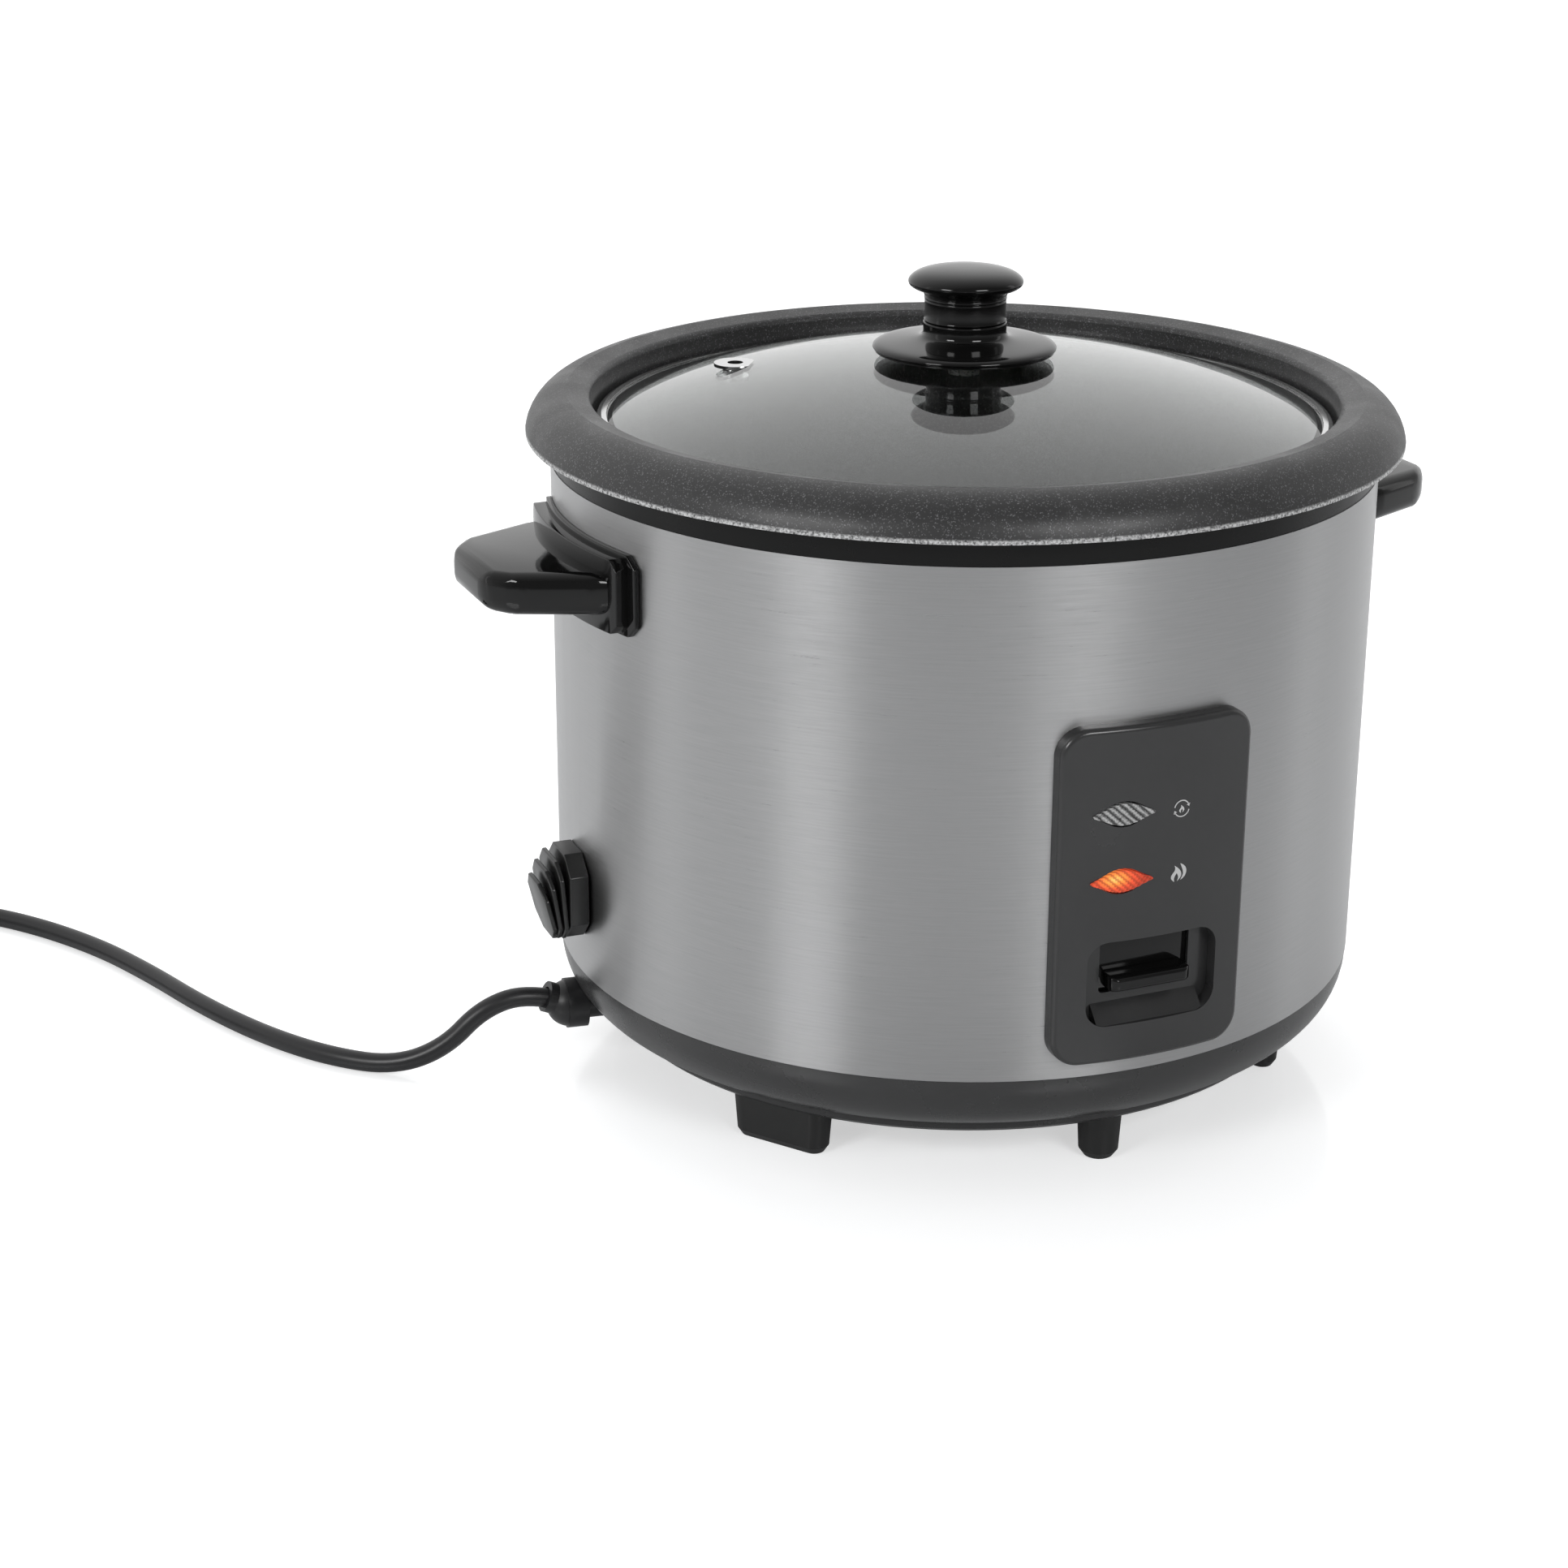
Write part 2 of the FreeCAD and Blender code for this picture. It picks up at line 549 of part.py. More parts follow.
holder = holder.fuse(foot_bar)
for peg in peg_holes:
    stub = peg.common(ring_wall(SHELL_R - 3.0, 120.0))
    holder = holder.fuse(stub)
save("spoon_holder", around(holder.removeSplitter(), HOLDER_AZ))

# ---- mains cord: gland, free run, put-away coil, tail and plug ----
COIL_X = -322.0
COIL_Y = 176.0
COIL_R = 31.0
LIE = CORD_R + 0.1
CORD_ROUTE = [(-129.0, 17.3, 24.5), (-143.0, 19.3, 21.0), (-154.0, 22.0, 9.0), (-168.0, 28.0, LIE),
              (-184.0, 42.0, LIE), (-198.0, 64.0, LIE), (-210.0, 92.0, LIE), (-219.5, 122.0, LIE),
              (-231.0, 151.0, LIE), (-249.0, 180.0, LIE), (-270.0, 201.0, LIE), (-294.0, 209.8, LIE),
              (-316.1, 209.5, LIE)]
route = [GLAND_BALL] + [v(*p) for p in CORD_ROUTE]
cord = bent_tube(route, CORD_R)
save("power_cord", cord)

first_run = route[1] - route[0]
first_run.normalize()
gland = Part.makeSphere(7.0, GLAND_BALL).fuse(GLAND_STEM.common(cylinder(130, 0, 60)))
gland = gland.fuse(Part.makeCylinder(4.6, 7.9, GLAND_BALL, first_run))
seat = Part.makeCylinder(7.4, 6.0, at(113.5, GLAND_AZ, 19.5), at(1.0, GLAND_AZ))
base_outer = turned([(0, 0), (118, 0), (118, BASE_TOP), (117.7, BASE_TOP), ((111.9, 21.4), (104.4, 17.6)),
                     (103.9, 15.0), (102.9, FOOT_H), (0, FOOT_H)])
gland = gland.fuse(seat)
gland = gland.cut(base)
gland = gland.cut(Part.makeCylinder(CORD_R, 40, GLAND_BALL, first_run))
solids = sorted(gland.Solids, key=lambda s: s.Volume)
save("cord_gland", solids[-1])

coil = tube(COIL_R + 2 * CORD_R, COIL_R - 2 * CORD_R, 0.1, 4 * CORD_R, COIL_X, COIL_Y)
save("cord_coil", coil)

PLUG_Y = 118.0
PLUG_Z = 18.5
PLUG_BACK = -339.0
TAIL_ROUTE = [(-356.0, 168.0, 6.0), (-357.5, 150.0, LIE + 2), (-355.0, 131.0, 10.0),
              (PLUG_BACK, PLUG_Y, PLUG_Z)]
save("cord_tail", bent_tube([v(*p) for p in TAIL_ROUTE], CORD_R))


def plug_shape():
    half_outline = [(0, 0), (5.0, 0), (6.4, 12), (12.0, 14.5), (15.0, 22.0), (18.3, 26.0), (18.3, 34.0),
                    (17.5, 35.0), (0, 35.0)]
    face = Part.Face(outline(half_outline, lambda p: v(0, p[0], p[1])))
    solid = face.revolve(ORIGIN, UP, 360)
    solid.rotate(ORIGIN, v(0, 1, 0), 90)
    return solid


plug = moved(plug_shape(), PLUG_BACK, PLUG_Y, PLUG_Z)
pins = []
for side in (-9.5, 9.5):
    shaft = Part.makeCylinder(2.4, 17.5, v(PLUG_BACK + 35.0, PLUG_Y + side, PLUG_Z), v(1, 0, 0))
    tip = Part.makeCone(2.4, 1.4, 1.5, v(PLUG_BACK + 52.5, PLUG_Y + side, PLUG_Z), v(1, 0, 0))
    pins.append(shaft.fuse(tip))
save("plug_body", plug)
save("plug_pins", group(pins))

# ---- inner pot ----
step_out = STEP_R + POT_T
pot_in = POT_R - POT_T
pot = turned([(0, PLATE_TOP), (91.0, PLATE_TOP), ((99.5, 69.5), (POT_R, 78.0)), (POT_R, LEDGE - POT_T),
              (step_out, LEDGE - POT_T), (step_out, 195.2), ((108.3, 196.2), (109.4, 196.7)),
              (113.2, 197.4), ((119.4, 194.6), (123.3, 188.6)),
              (123.4, RIM_LOW), (RIM_R, RIM_LOW), (RIM_R, 188.4),
              ((120.6, 195.9), (113.2, RIM_TOP)), (107.8, 197.8), ((106.8, 197.2), (STEP_R, 196.2)),
              (STEP_R, LEDGE), (pot_in, LEDGE), (pot_in, 78.0), ((98.4, 70.6), (91.0, PLATE_TOP + POT_T)),
              (0, PLATE_TOP + POT_T)])
save("inner_pot", pot)

# ---- glass lid ----
EDGE_R = LID_R - 1.0
EDGE_TOP = LEDGE + 2.4
glass_mid = EDGE_R / 2.0


def dome_height(radius, apex, edge_r, edge_z):
    """Height of a spherical dome over a radius."""
    rise = apex - edge_z
    big = (edge_r * edge_r + rise * rise) / (2.0 * rise)
    return apex - big + math.sqrt(big * big - radius * radius)


inner_apex = GLASS_APEX - GLASS_T
inner_edge_r = EDGE_R - 4.0
inner_edge_z = LEDGE + 1.0
inner_mid = inner_edge_r / 2.0
outer_mid_z = dome_height(glass_mid, GLASS_APEX, EDGE_R, EDGE_TOP)
inner_mid_z = dome_height(inner_mid, inner_apex, inner_edge_r, inner_edge_z)
glass = turned([(0, GLASS_APEX), ((glass_mid, outer_mid_z), (EDGE_R, EDGE_TOP)), (EDGE_R, inner_edge_z),
                (inner_edge_r, inner_edge_z), ((inner_mid, inner_mid_z), (0, inner_apex))])
VENT_R = 67.0
VENT_AZ = -126.0
vent = at(VENT_R, VENT_AZ)
glass = glass.cut(cylinder(2.5, 190, 215)).cut(cylinder(3.0, 190, 215, vent.x, vent.y))
lip_in = LID_R - 2.6
lip_top = LEDGE + 3.5
band = turned([(LID_R - 2.9, LEDGE), (LID_R, LEDGE), (LID_R, lip_top - 0.5), (LID_R - 1.2, lip_top),
               (lip_in, lip_top), (lip_in, lip_top - 0.6), (EDGE_R, lip_top - 0.6), (EDGE_R, inner_edge_z),
               (EDGE_R - 3.4, inner_edge_z), (EDGE_R - 3.4, LEDGE + 0.5), (LID_R - 2.9, LEDGE + 0.5)])
band = band.cut(glass)
band = sorted(band.Solids, key=lambda s: s.Volume)[-1]
save("lid_glass", glass)
save("lid_band", band)

vent_z = dome_height(VENT_R, GLASS_APEX, EDGE_R, EDGE_TOP)
eyelet = tube(3.0, 2.3, vent_z - 5.6, vent_z + 0.8, vent.x, vent.y)
eyelet = eyelet.fuse(tube(6.2, 2.3, vent_z + 0.1, vent_z + 1.0, vent.x, vent.y))
eyelet = eyelet.fuse(tube(4.6, 2.3, vent_z - 5.8, vent_z - 4.9, vent.x, vent.y))
save("vent_eyelet", eyelet.cut(glass).removeSplitter())

SKIRT_LOW = GLASS_APEX + 0.8
SEAM = 217.6
gasket = tube(9.0, 2.5, GLASS_APEX - 1.5, SKIRT_LOW).cut(glass)
save("knob_gasket", sorted(gasket.Solids, key=lambda s: s.Volume)[-1])
skirt = turned([(2.2, SKIRT_LOW), (25.0, SKIRT_LOW), ((26.2, SKIRT_LOW + 1.1), (25.0, SKIRT_LOW + 2.3)),
                ((15.6, 212.9), (11.9, SEAM)), (2.2, SEAM)])
save("knob_skirt", skirt)
crown = dome_height(8.0, KNOB_TOP, 14.8, 231.0)
knob = turned([(0, SEAM), (11.6, SEAM), (11.6, 225.6), ((12.6, 226.6), (14.6, 226.9)),
               ((16.4, 228.8), (14.8, 231.0)), ((8.0, crown), (0, KNOB_TOP))])
knob = knob.cut(cylinder(2.2, SEAM - 1, 228.0))
save("knob", knob)
WASHER_LOW = inner_apex - 1.2
washer = tube(8.0, 2.2, WASHER_LOW, inner_apex + 0.5).cut(glass).cut(tube(2.5, 2.2, inner_apex, 212))
save("knob_washer", sorted(washer.Solids, key=lambda s: s.Volume)[-1])
lid_screw = cylinder(2.2, WASHER_LOW, 227.0).fuse(cylinder(4.4, WASHER_LOW - 2.4, WASHER_LOW))
lid_screw = lid_screw.cut(box(-3.2, 3.2, -0.5, 0.5, WASHER_LOW - 3, WASHER_LOW - 1.5))
save("knob_screw", lid_screw)
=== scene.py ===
import math

import bmesh
import bpy
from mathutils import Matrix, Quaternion, Vector


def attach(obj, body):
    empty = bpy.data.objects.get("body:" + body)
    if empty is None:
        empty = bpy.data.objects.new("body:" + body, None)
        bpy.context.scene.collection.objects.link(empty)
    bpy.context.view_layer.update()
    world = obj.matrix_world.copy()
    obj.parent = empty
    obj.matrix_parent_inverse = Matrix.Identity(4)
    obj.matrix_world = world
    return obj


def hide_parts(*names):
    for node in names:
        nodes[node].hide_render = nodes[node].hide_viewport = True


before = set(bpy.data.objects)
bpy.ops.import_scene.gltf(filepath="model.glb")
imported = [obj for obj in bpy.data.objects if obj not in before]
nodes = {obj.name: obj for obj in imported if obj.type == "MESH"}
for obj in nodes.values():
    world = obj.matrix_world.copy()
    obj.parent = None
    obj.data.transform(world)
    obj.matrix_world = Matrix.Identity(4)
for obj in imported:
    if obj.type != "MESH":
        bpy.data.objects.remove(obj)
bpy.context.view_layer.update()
bpy.ops.object.select_all(action="DESELECT")

# ---- Camera ----
# A short portrait lens a little above the rim, to the left of the front, looking slightly past the
# cooker's left side.
camera_data = bpy.data.cameras.new("camera")
camera_data.lens = 72.4
camera_data.sensor_width = 36.0
camera_data.clip_end = 60.0
camera = bpy.data.objects.new("camera", camera_data)
bpy.context.scene.collection.objects.link(camera)
bpy.context.scene.camera = camera
camera.location = (-0.3929, -0.7916, 0.4065)
heading = math.radians(66.9)
look_down = math.radians(20.47)
level = math.cos(look_down)
look = Vector((math.cos(heading) * level, math.sin(heading) * level, -math.sin(look_down)))
camera.rotation_mode = "QUATERNION"
camera.rotation_quaternion = look.to_track_quat("-Z", "Y") @ Quaternion((0, 0, 1), math.radians(0.18))

# ---- Table, room and lamps ----
# A seamless white acrylic table that glows from below and mirrors the cooker faintly, in a pale room that
# is brightest behind the cooker and dim in front of it.
bpy.ops.mesh.primitive_plane_add(size=30, location=(0, 0, 0))
table = bpy.context.object
table.name = "table_top"
acrylic = bpy.data.materials.new("white_acrylic")
acrylic.use_nodes = True
acrylic_shader = acrylic.node_tree.nodes["Principled BSDF"]
acrylic_shader.inputs["Base Color"].default_value = (0.74, 0.75, 0.76, 1)
acrylic_shader.inputs["Roughness"].default_value = 0.09
acrylic_shader.inputs["Specular IOR Level"].default_value = 0.45
acrylic_shader.inputs["Emission Color"].default_value = (1, 1, 1, 1)
seen_directly = acrylic.node_tree.nodes.new("ShaderNodeLightPath")
table_glow = acrylic.node_tree.nodes.new("ShaderNodeMapRange")
table_glow.inputs["To Min"].default_value = 0.05
table_glow.inputs["To Max"].default_value = 0.54
acrylic.node_tree.links.new(seen_directly.outputs["Is Camera Ray"], table_glow.inputs["Value"])
acrylic.node_tree.links.new(table_glow.outputs["Result"], acrylic_shader.inputs["Emission Strength"])
table.data.materials.append(acrylic)

room = bpy.data.worlds.new("pale_room")
bpy.context.scene.world = room
room.use_nodes = True
room_tree = room.node_tree
room_light = room_tree.nodes["Background"]
direction = room_tree.nodes.new("ShaderNodeTexCoord")
split = room_tree.nodes.new("ShaderNodeSeparateXYZ")
rise = room_tree.nodes.new("ShaderNodeValToRGB")
rise.color_ramp.elements[0].position = 0.25
rise.color_ramp.elements[0].color = (0.20, 0.20, 0.20, 1)
rise.color_ramp.elements[1].position = 0.85
rise.color_ramp.elements[1].color = (1.0, 1.0, 1.0, 1)
towards_back = room_tree.nodes.new("ShaderNodeMapRange")
towards_back.inputs["From Min"].default_value = -1.0
room_seen = room_tree.nodes.new("ShaderNodeLightPath")
backdrop = room_tree.nodes.new("ShaderNodeMix")
backdrop.data_type = "RGBA"
backdrop.inputs["B"].default_value = (1, 1, 1, 1)
room_tree.links.new(direction.outputs["Generated"], split.inputs["Vector"])
room_tree.links.new(split.outputs["Y"], towards_back.inputs["Value"])
room_tree.links.new(towards_back.outputs["Result"], rise.inputs["Fac"])
room_tree.links.new(rise.outputs["Color"], backdrop.inputs["A"])
room_tree.links.new(room_seen.outputs["Is Camera Ray"], backdrop.inputs["Factor"])
room_tree.links.new(backdrop.outputs["Result"], room_light.inputs["Color"])
room_light.inputs["Strength"].default_value = 1.0
bpy.context.scene.view_settings.view_transform = "Standard"


def softbox(name, place, target, width, height, watts):
    lamp = bpy.data.lights.new(name, "AREA")
    lamp.shape = "RECTANGLE"
    lamp.size = width
    lamp.size_y = height
    lamp.energy = watts
    stand = bpy.data.objects.new(name, lamp)
    bpy.context.scene.collection.objects.link(stand)
    stand.location = place
    stand.rotation_mode = "QUATERNION"
    stand.rotation_quaternion = (Vector(target) - Vector(place)).to_track_quat("-Z", "Y")
    return stand


softbox("front_box_left", (-1.37, -0.61, 0.80), (0, 0, 0.15), 0.50, 0.40, 8)
softbox("front_box_right", (0.20, -1.45, 0.90), (0, 0, 0.15), 0.60, 0.40, 9)
softbox("left_strip", (-1.5, 0.5, 0.5), (0, 0, 0.12), 0.20, 1.0, 0.4)
softbox("right_strip", (1.5, -0.25, 0.6), (0, 0, 0.12), 0.35, 1.0, 0.8)
overhead = softbox("overhead", (0.1, 0.9, 1.5), (0, 0, 0.1), 1.2, 0.9, 9)
overhead.visible_glossy = False
overhead.visible_transmission = False

# ---- Mains cord and its gland ----
# A thin round rubber-sheathed lead about a metre long: out of the black ball gland, down to the table and
# away to the left, then wound into a flat coil of three and a bit turns and led to its moulded plug.
moulded_skin = bpy.data.node_groups.new("moulded_skin", "ShaderNodeTree")
for socket, kind in (("Deep", "NodeSocketColor"), ("Pale", "NodeSocketColor"), ("Smooth", "NodeSocketFloat"),
                     ("Dull", "NodeSocketFloat"), ("Grain", "NodeSocketFloat"), ("Depth", "NodeSocketFloat")):
    moulded_skin.interface.new_socket(name=socket, in_out="INPUT", socket_type=kind)
for socket, kind in (("Colour", "NodeSocketColor"), ("Roughness", "NodeSocketFloat"),
                     ("Normal", "NodeSocketVector")):
    moulded_skin.interface.new_socket(name=socket, in_out="OUTPUT", socket_type=kind)
skin_in = moulded_skin.nodes.new("NodeGroupInput")
skin_out = moulded_skin.nodes.new("NodeGroupOutput")
skin_place = moulded_skin.nodes.new("ShaderNodeTexCoord")
pores = moulded_skin.nodes.new("ShaderNodeTexNoise")
pores.inputs["Detail"].default_value = 2.0
handling = moulded_skin.nodes.new("ShaderNodeTexNoise")
handling.inputs["Scale"].default_value = 34.0
handling.inputs["Detail"].default_value = 6.0
handling.inputs["Roughness"].default_value = 0.62
skin_tone = moulded_skin.nodes.new("ShaderNodeMix")
skin_tone.data_type = "RGBA"
skin_gloss = moulded_skin.nodes.new("ShaderNodeMapRange")
skin_gloss.inputs["From Min"].default_value = 0.32
skin_gloss.inputs["From Max"].default_value = 0.72
skin_relief = moulded_skin.nodes.new("ShaderNodeBump")
skin_relief.inputs["Distance"].default_value = 0.0001
skin_link = moulded_skin.links.new
skin_link(skin_place.outputs["Object"], pores.inputs["Vector"])
skin_link(skin_place.outputs["Object"], handling.inputs["Vector"])
skin_link(skin_in.outputs["Grain"], pores.inputs["Scale"])
skin_link(handling.outputs["Fac"], skin_tone.inputs["Factor"])
skin_link(skin_in.outputs["Deep"], skin_tone.inputs["A"])
skin_link(skin_in.outputs["Pale"], skin_tone.inputs["B"])
skin_link(handling.outputs["Fac"], skin_gloss.inputs["Value"])
skin_link(skin_in.outputs["Smooth"], skin_gloss.inputs["To Min"])
skin_link(skin_in.outputs["Dull"], skin_gloss.inputs["To Max"])
skin_link(pores.outputs["Fac"], skin_relief.inputs["Height"])
skin_link(skin_in.outputs["Depth"], skin_relief.inputs["Strength"])
skin_link(skin_tone.outputs["Result"], skin_out.inputs["Colour"])
skin_link(skin_gloss.outputs["Result"], skin_out.inputs["Roughness"])
skin_link(skin_relief.outputs["Normal"], skin_out.inputs["Normal"])


def finished_by(group, name, metallic, settings):
    """A material whose colour, roughness and relief come from a finish group with its own settings."""
    material = bpy.data.materials.new(name)
    material.use_nodes = True
    tree = material.node_tree
    shader = tree.nodes["Principled BSDF"]
    shader.inputs["Metallic"].default_value = metallic
    finish = tree.nodes.new("ShaderNodeGroup")
    finish.node_tree = group
    for socket, value in settings.items():
        finish.inputs[socket].default_value = value
    tree.links.new(finish.outputs["Colour"], shader.inputs["Base Color"])
    tree.links.new(finish.outputs["Roughness"], shader.inputs["Roughness"])
    tree.links.new(finish.outputs["Normal"], shader.inputs["Normal"])
    return material


def moulding(name, deep, pale, smooth, dull, grain, depth):
    """A non-metal finish: two tones, two roughnesses, the grain's scale and its depth."""
    return finished_by(moulded_skin, name, 0.0, {"Deep": (*deep, 1), "Pale": (*pale, 1), "Smooth": smooth,
                                                 "Dull": dull, "Grain": grain, "Depth": depth})


def dress(material, *names):
    """Gives CAD nodes their finish."""
    for name in names:
        mesh = nodes[name].data
        if len(mesh.materials) == 0:
            mesh.materials.append(material)
        for slot in nodes[name].material_slots:
            slot.material = material


cord_rubber = moulding("cord_rubber", (0.007, 0.007, 0.008), (0.014, 0.014, 0.015), 0.32, 0.46, 900.0, 0.12)
dress(cord_rubber, "cord_gland")
plug_rubber = moulding("plug_rubber", (0.010, 0.010, 0.010), (0.024, 0.024, 0.024), 0.38, 0.55, 900.0, 0.35)
dress(plug_rubber, "plug_body")

CORD_D = 0.0058
LIE = CORD_D / 2 + 0.0001
GLAND_BALL = (-0.11705, 0.01645, 0.0195)
cord_route = [GLAND_BALL, (-0.1290, 0.0173, 0.0245), (-0.1430, 0.0193, 0.0210), (-0.1540, 0.0220, 0.0090),
              (-0.1680, 0.0280, LIE), (-0.1840, 0.0420, LIE), (-0.1980, 0.0640, LIE), (-0.2100, 0.0920, LIE),
              (-0.2195, 0.1220, LIE), (-0.2310, 0.1510, LIE), (-0.2490, 0.1800, LIE), (-0.2700, 0.2010, LIE),
              (-0.2940, 0.2098, LIE)]
COIL = (-0.322, 0.176)
COIL_OUTER_R = 0.034
COIL_INNER_R = 0.028
COIL_MEAN_R = 0.031
COIL_START = math.radians(80.0)
COIL_TURNS = 3.278
coil_steps = round(COIL_TURNS * 16)
for step in range(coil_steps + 1):
    turn = COIL_TURNS * step / coil_steps
    inward = min(max((turn - 0.80) / 0.4, 0), 1)
    outward = min(max((turn - 2.45) / 0.4, 0), 1)
    climb = min(max((turn - 1.80) / 0.4, 0), 1)
    reach = COIL_OUTER_R - (COIL_OUTER_R - COIL_INNER_R) * (inward - outward)
    angle = COIL_START + 2 * math.pi * turn
    cord_route.append((COIL[0] + reach * math.cos(angle), COIL[1] + reach * math.sin(angle),
                       LIE + CORD_D * climb))
cord_route += [(-0.3566, 0.165, 0.0062), (-0.3570, 0.150, 0.0050), (-0.3550, 0.131, 0.0100),
               (-0.3390, 0.118, 0.0185)]

cord_curve = bpy.data.curves.new("mains_cord", "CURVE")
cord_curve.dimensions = "3D"
cord_line = cord_curve.splines.new("NURBS")
cord_line.points.add(len(cord_route) - 1)
for point, place in zip(cord_line.points, cord_route):
    point.co = (*place, 1)
cord_line.order_u = 3
cord_line.use_endpoint_u = True
cord_line.resolution_u = 8
cord_curve.bevel_depth = CORD_D / 2
cord_curve.bevel_resolution = 6
cord_curve.use_fill_caps = True
cord_curve.materials.append(cord_rubber)
mains_cord = bpy.data.objects.new("mains_cord", cord_curve)
bpy.context.scene.collection.objects.link(mains_cord)
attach(mains_cord, "cooker")
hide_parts("power_cord", "cord_coil", "cord_tail")
bpy.ops.object.select_all(action="DESELECT")
bpy.ops.mesh.primitive_torus_add(major_radius=0.0072, minor_radius=0.0007, major_segments=40,
                                 minor_segments=10, location=(COIL[0], COIL[1] - COIL_MEAN_R, 0.007),
                                 rotation=(0, math.pi / 2, 0))
coil_tie = bpy.context.object
coil_tie.name = "coil_tie"
bpy.ops.object.transform_apply(location=False, rotation=True, scale=False)
coil_tie.scale = (2.2, 1.0, 0.88)
bpy.ops.object.transform_apply(location=True, rotation=True, scale=True)
bpy.ops.object.shade_smooth()
coil_tie.data.materials.append(cord_rubber)
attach(coil_tie, "cooker")

# ---- Steel shell ----
# A tube of brushed stainless sheet, 0.6 mm thick, rolled round and closed at the back with a flat lapped
# seam. The brushing runs round the body and stretches every reflection up and down.
round_brushing = bpy.data.node_groups.new("round_brushing", "ShaderNodeTree")
for socket, kind in (("Deep", "NodeSocketColor"), ("Pale", "NodeSocketColor"),
                     ("Smooth", "NodeSocketFloat"), ("Dull", "NodeSocketFloat"),
                     ("Strokes", "NodeSocketFloat"), ("Depth", "NodeSocketFloat")):
    round_brushing.interface.new_socket(name=socket, in_out="INPUT", socket_type=kind)
for socket, kind in (("Colour", "NodeSocketColor"), ("Roughness", "NodeSocketFloat"),
                     ("Normal", "NodeSocketVector")):
    round_brushing.interface.new_socket(name=socket, in_out="OUTPUT", socket_type=kind)
brush_in = round_brushing.nodes.new("NodeGroupInput")
brush_out = round_brushing.nodes.new("NodeGroupOutput")
brush_place = round_brushing.nodes.new("ShaderNodeTexCoord")
brush_split = round_brushing.nodes.new("ShaderNodeSeparateXYZ")
brush_link = round_brushing.links.new
brush_link(brush_place.outputs["Object"], brush_split.inputs["Vector"])


def brush_math(kind, first, second=None):
    step = round_brushing.nodes.new("ShaderNodeMath")
    step.operation = kind
    for socket, value in zip(step.inputs, (first, second)):
        if isinstance(value, (int, float)):
            socket.default_value = value
        elif value is not None:
            brush_link(value, socket)
    return step.outputs["Value"]


across = brush_math("MULTIPLY", brush_split.outputs["X"], brush_split.outputs["X"])
along = brush_math("MULTIPLY", brush_split.outputs["Y"], brush_split.outputs["Y"])
brush_radius = brush_math("SQRT", brush_math("ADD", across, along))
towards_front = brush_math("MULTIPLY", brush_split.outputs["Y"], -1)
brush_angle = brush_math("ARCTAN2", brush_split.outputs["X"], towards_front)
strokes = round_brushing.nodes.new("ShaderNodeCombineXYZ")
brush_link(brush_math("MULTIPLY", brush_radius, brush_in.outputs["Strokes"]), strokes.inputs["X"])
brush_link(brush_math("MULTIPLY", brush_split.outputs["Z"], brush_in.outputs["Strokes"]), strokes.inputs["Y"])
brush_link(brush_math("MULTIPLY", brush_angle, 7.0), strokes.inputs["Z"])
bristles = round_brushing.nodes.new("ShaderNodeTexNoise")
bristles.inputs["Scale"].default_value = 1.0
bristles.inputs["Detail"].default_value = 4.0
bristles.inputs["Roughness"].default_value = 0.7
clouding = round_brushing.nodes.new("ShaderNodeTexNoise")
clouding.inputs["Scale"].default_value = 14.0
clouding.inputs["Detail"].default_value = 3.0
brush_mask = brush_math("ADD", brush_math("MULTIPLY", bristles.outputs["Fac"], 0.75),
                        brush_math("MULTIPLY", clouding.outputs["Fac"], 0.25))
brush_tone = round_brushing.nodes.new("ShaderNodeMix")
brush_tone.data_type = "RGBA"
brush_gloss = round_brushing.nodes.new("ShaderNodeMapRange")
brush_gloss.inputs["From Min"].default_value = 0.3
brush_gloss.inputs["From Max"].default_value = 0.7
brush_relief = round_brushing.nodes.new("ShaderNodeBump")
brush_relief.inputs["Distance"].default_value = 0.0001
brush_link(strokes.outputs["Vector"], bristles.inputs["Vector"])
brush_link(brush_place.outputs["Object"], clouding.inputs["Vector"])
brush_link(brush_mask, brush_tone.inputs["Factor"])
brush_link(brush_in.outputs["Deep"], brush_tone.inputs["A"])
brush_link(brush_in.outputs["Pale"], brush_tone.inputs["B"])
brush_link(brush_mask, brush_gloss.inputs["Value"])
brush_link(brush_in.outputs["Smooth"], brush_gloss.inputs["To Min"])
brush_link(brush_in.outputs["Dull"], brush_gloss.inputs["To Max"])
brush_link(bristles.outputs["Fac"], brush_relief.inputs["Height"])
brush_link(brush_in.outputs["Depth"], brush_relief.inputs["Strength"])
brush_link(brush_tone.outputs["Result"], brush_out.inputs["Colour"])
brush_link(brush_gloss.outputs["Result"], brush_out.inputs["Roughness"])
brush_link(brush_relief.outputs["Normal"], brush_out.inputs["Normal"])


def brushed(name, deep, pale, smooth, dull, strokes_per_metre, depth):
    """A bare metal finish: two tones, two roughnesses, how fine the strokes are and how deep."""
    return finished_by(round_brushing, name, 1.0, {"Deep": (*deep, 1), "Pale": (*pale, 1), "Smooth": smooth,
                                                   "Dull": dull, "Strokes": strokes_per_metre, "Depth": depth})


brushed_steel = brushed("brushed_steel", (0.33, 0.33, 0.332), (0.50, 0.50, 0.502), 0.26, 0.40, 1900.0,
                        0.10)
steel_shader = brushed_steel.node_tree.nodes["Principled BSDF"]
steel_shader.inputs["Anisotropic"].default_value = 0.75
steel_shader.inputs["Anisotropic Rotation"].default_value = 0.25
dress(brushed_steel, "outer_shell")
SHELL_R = 0.118


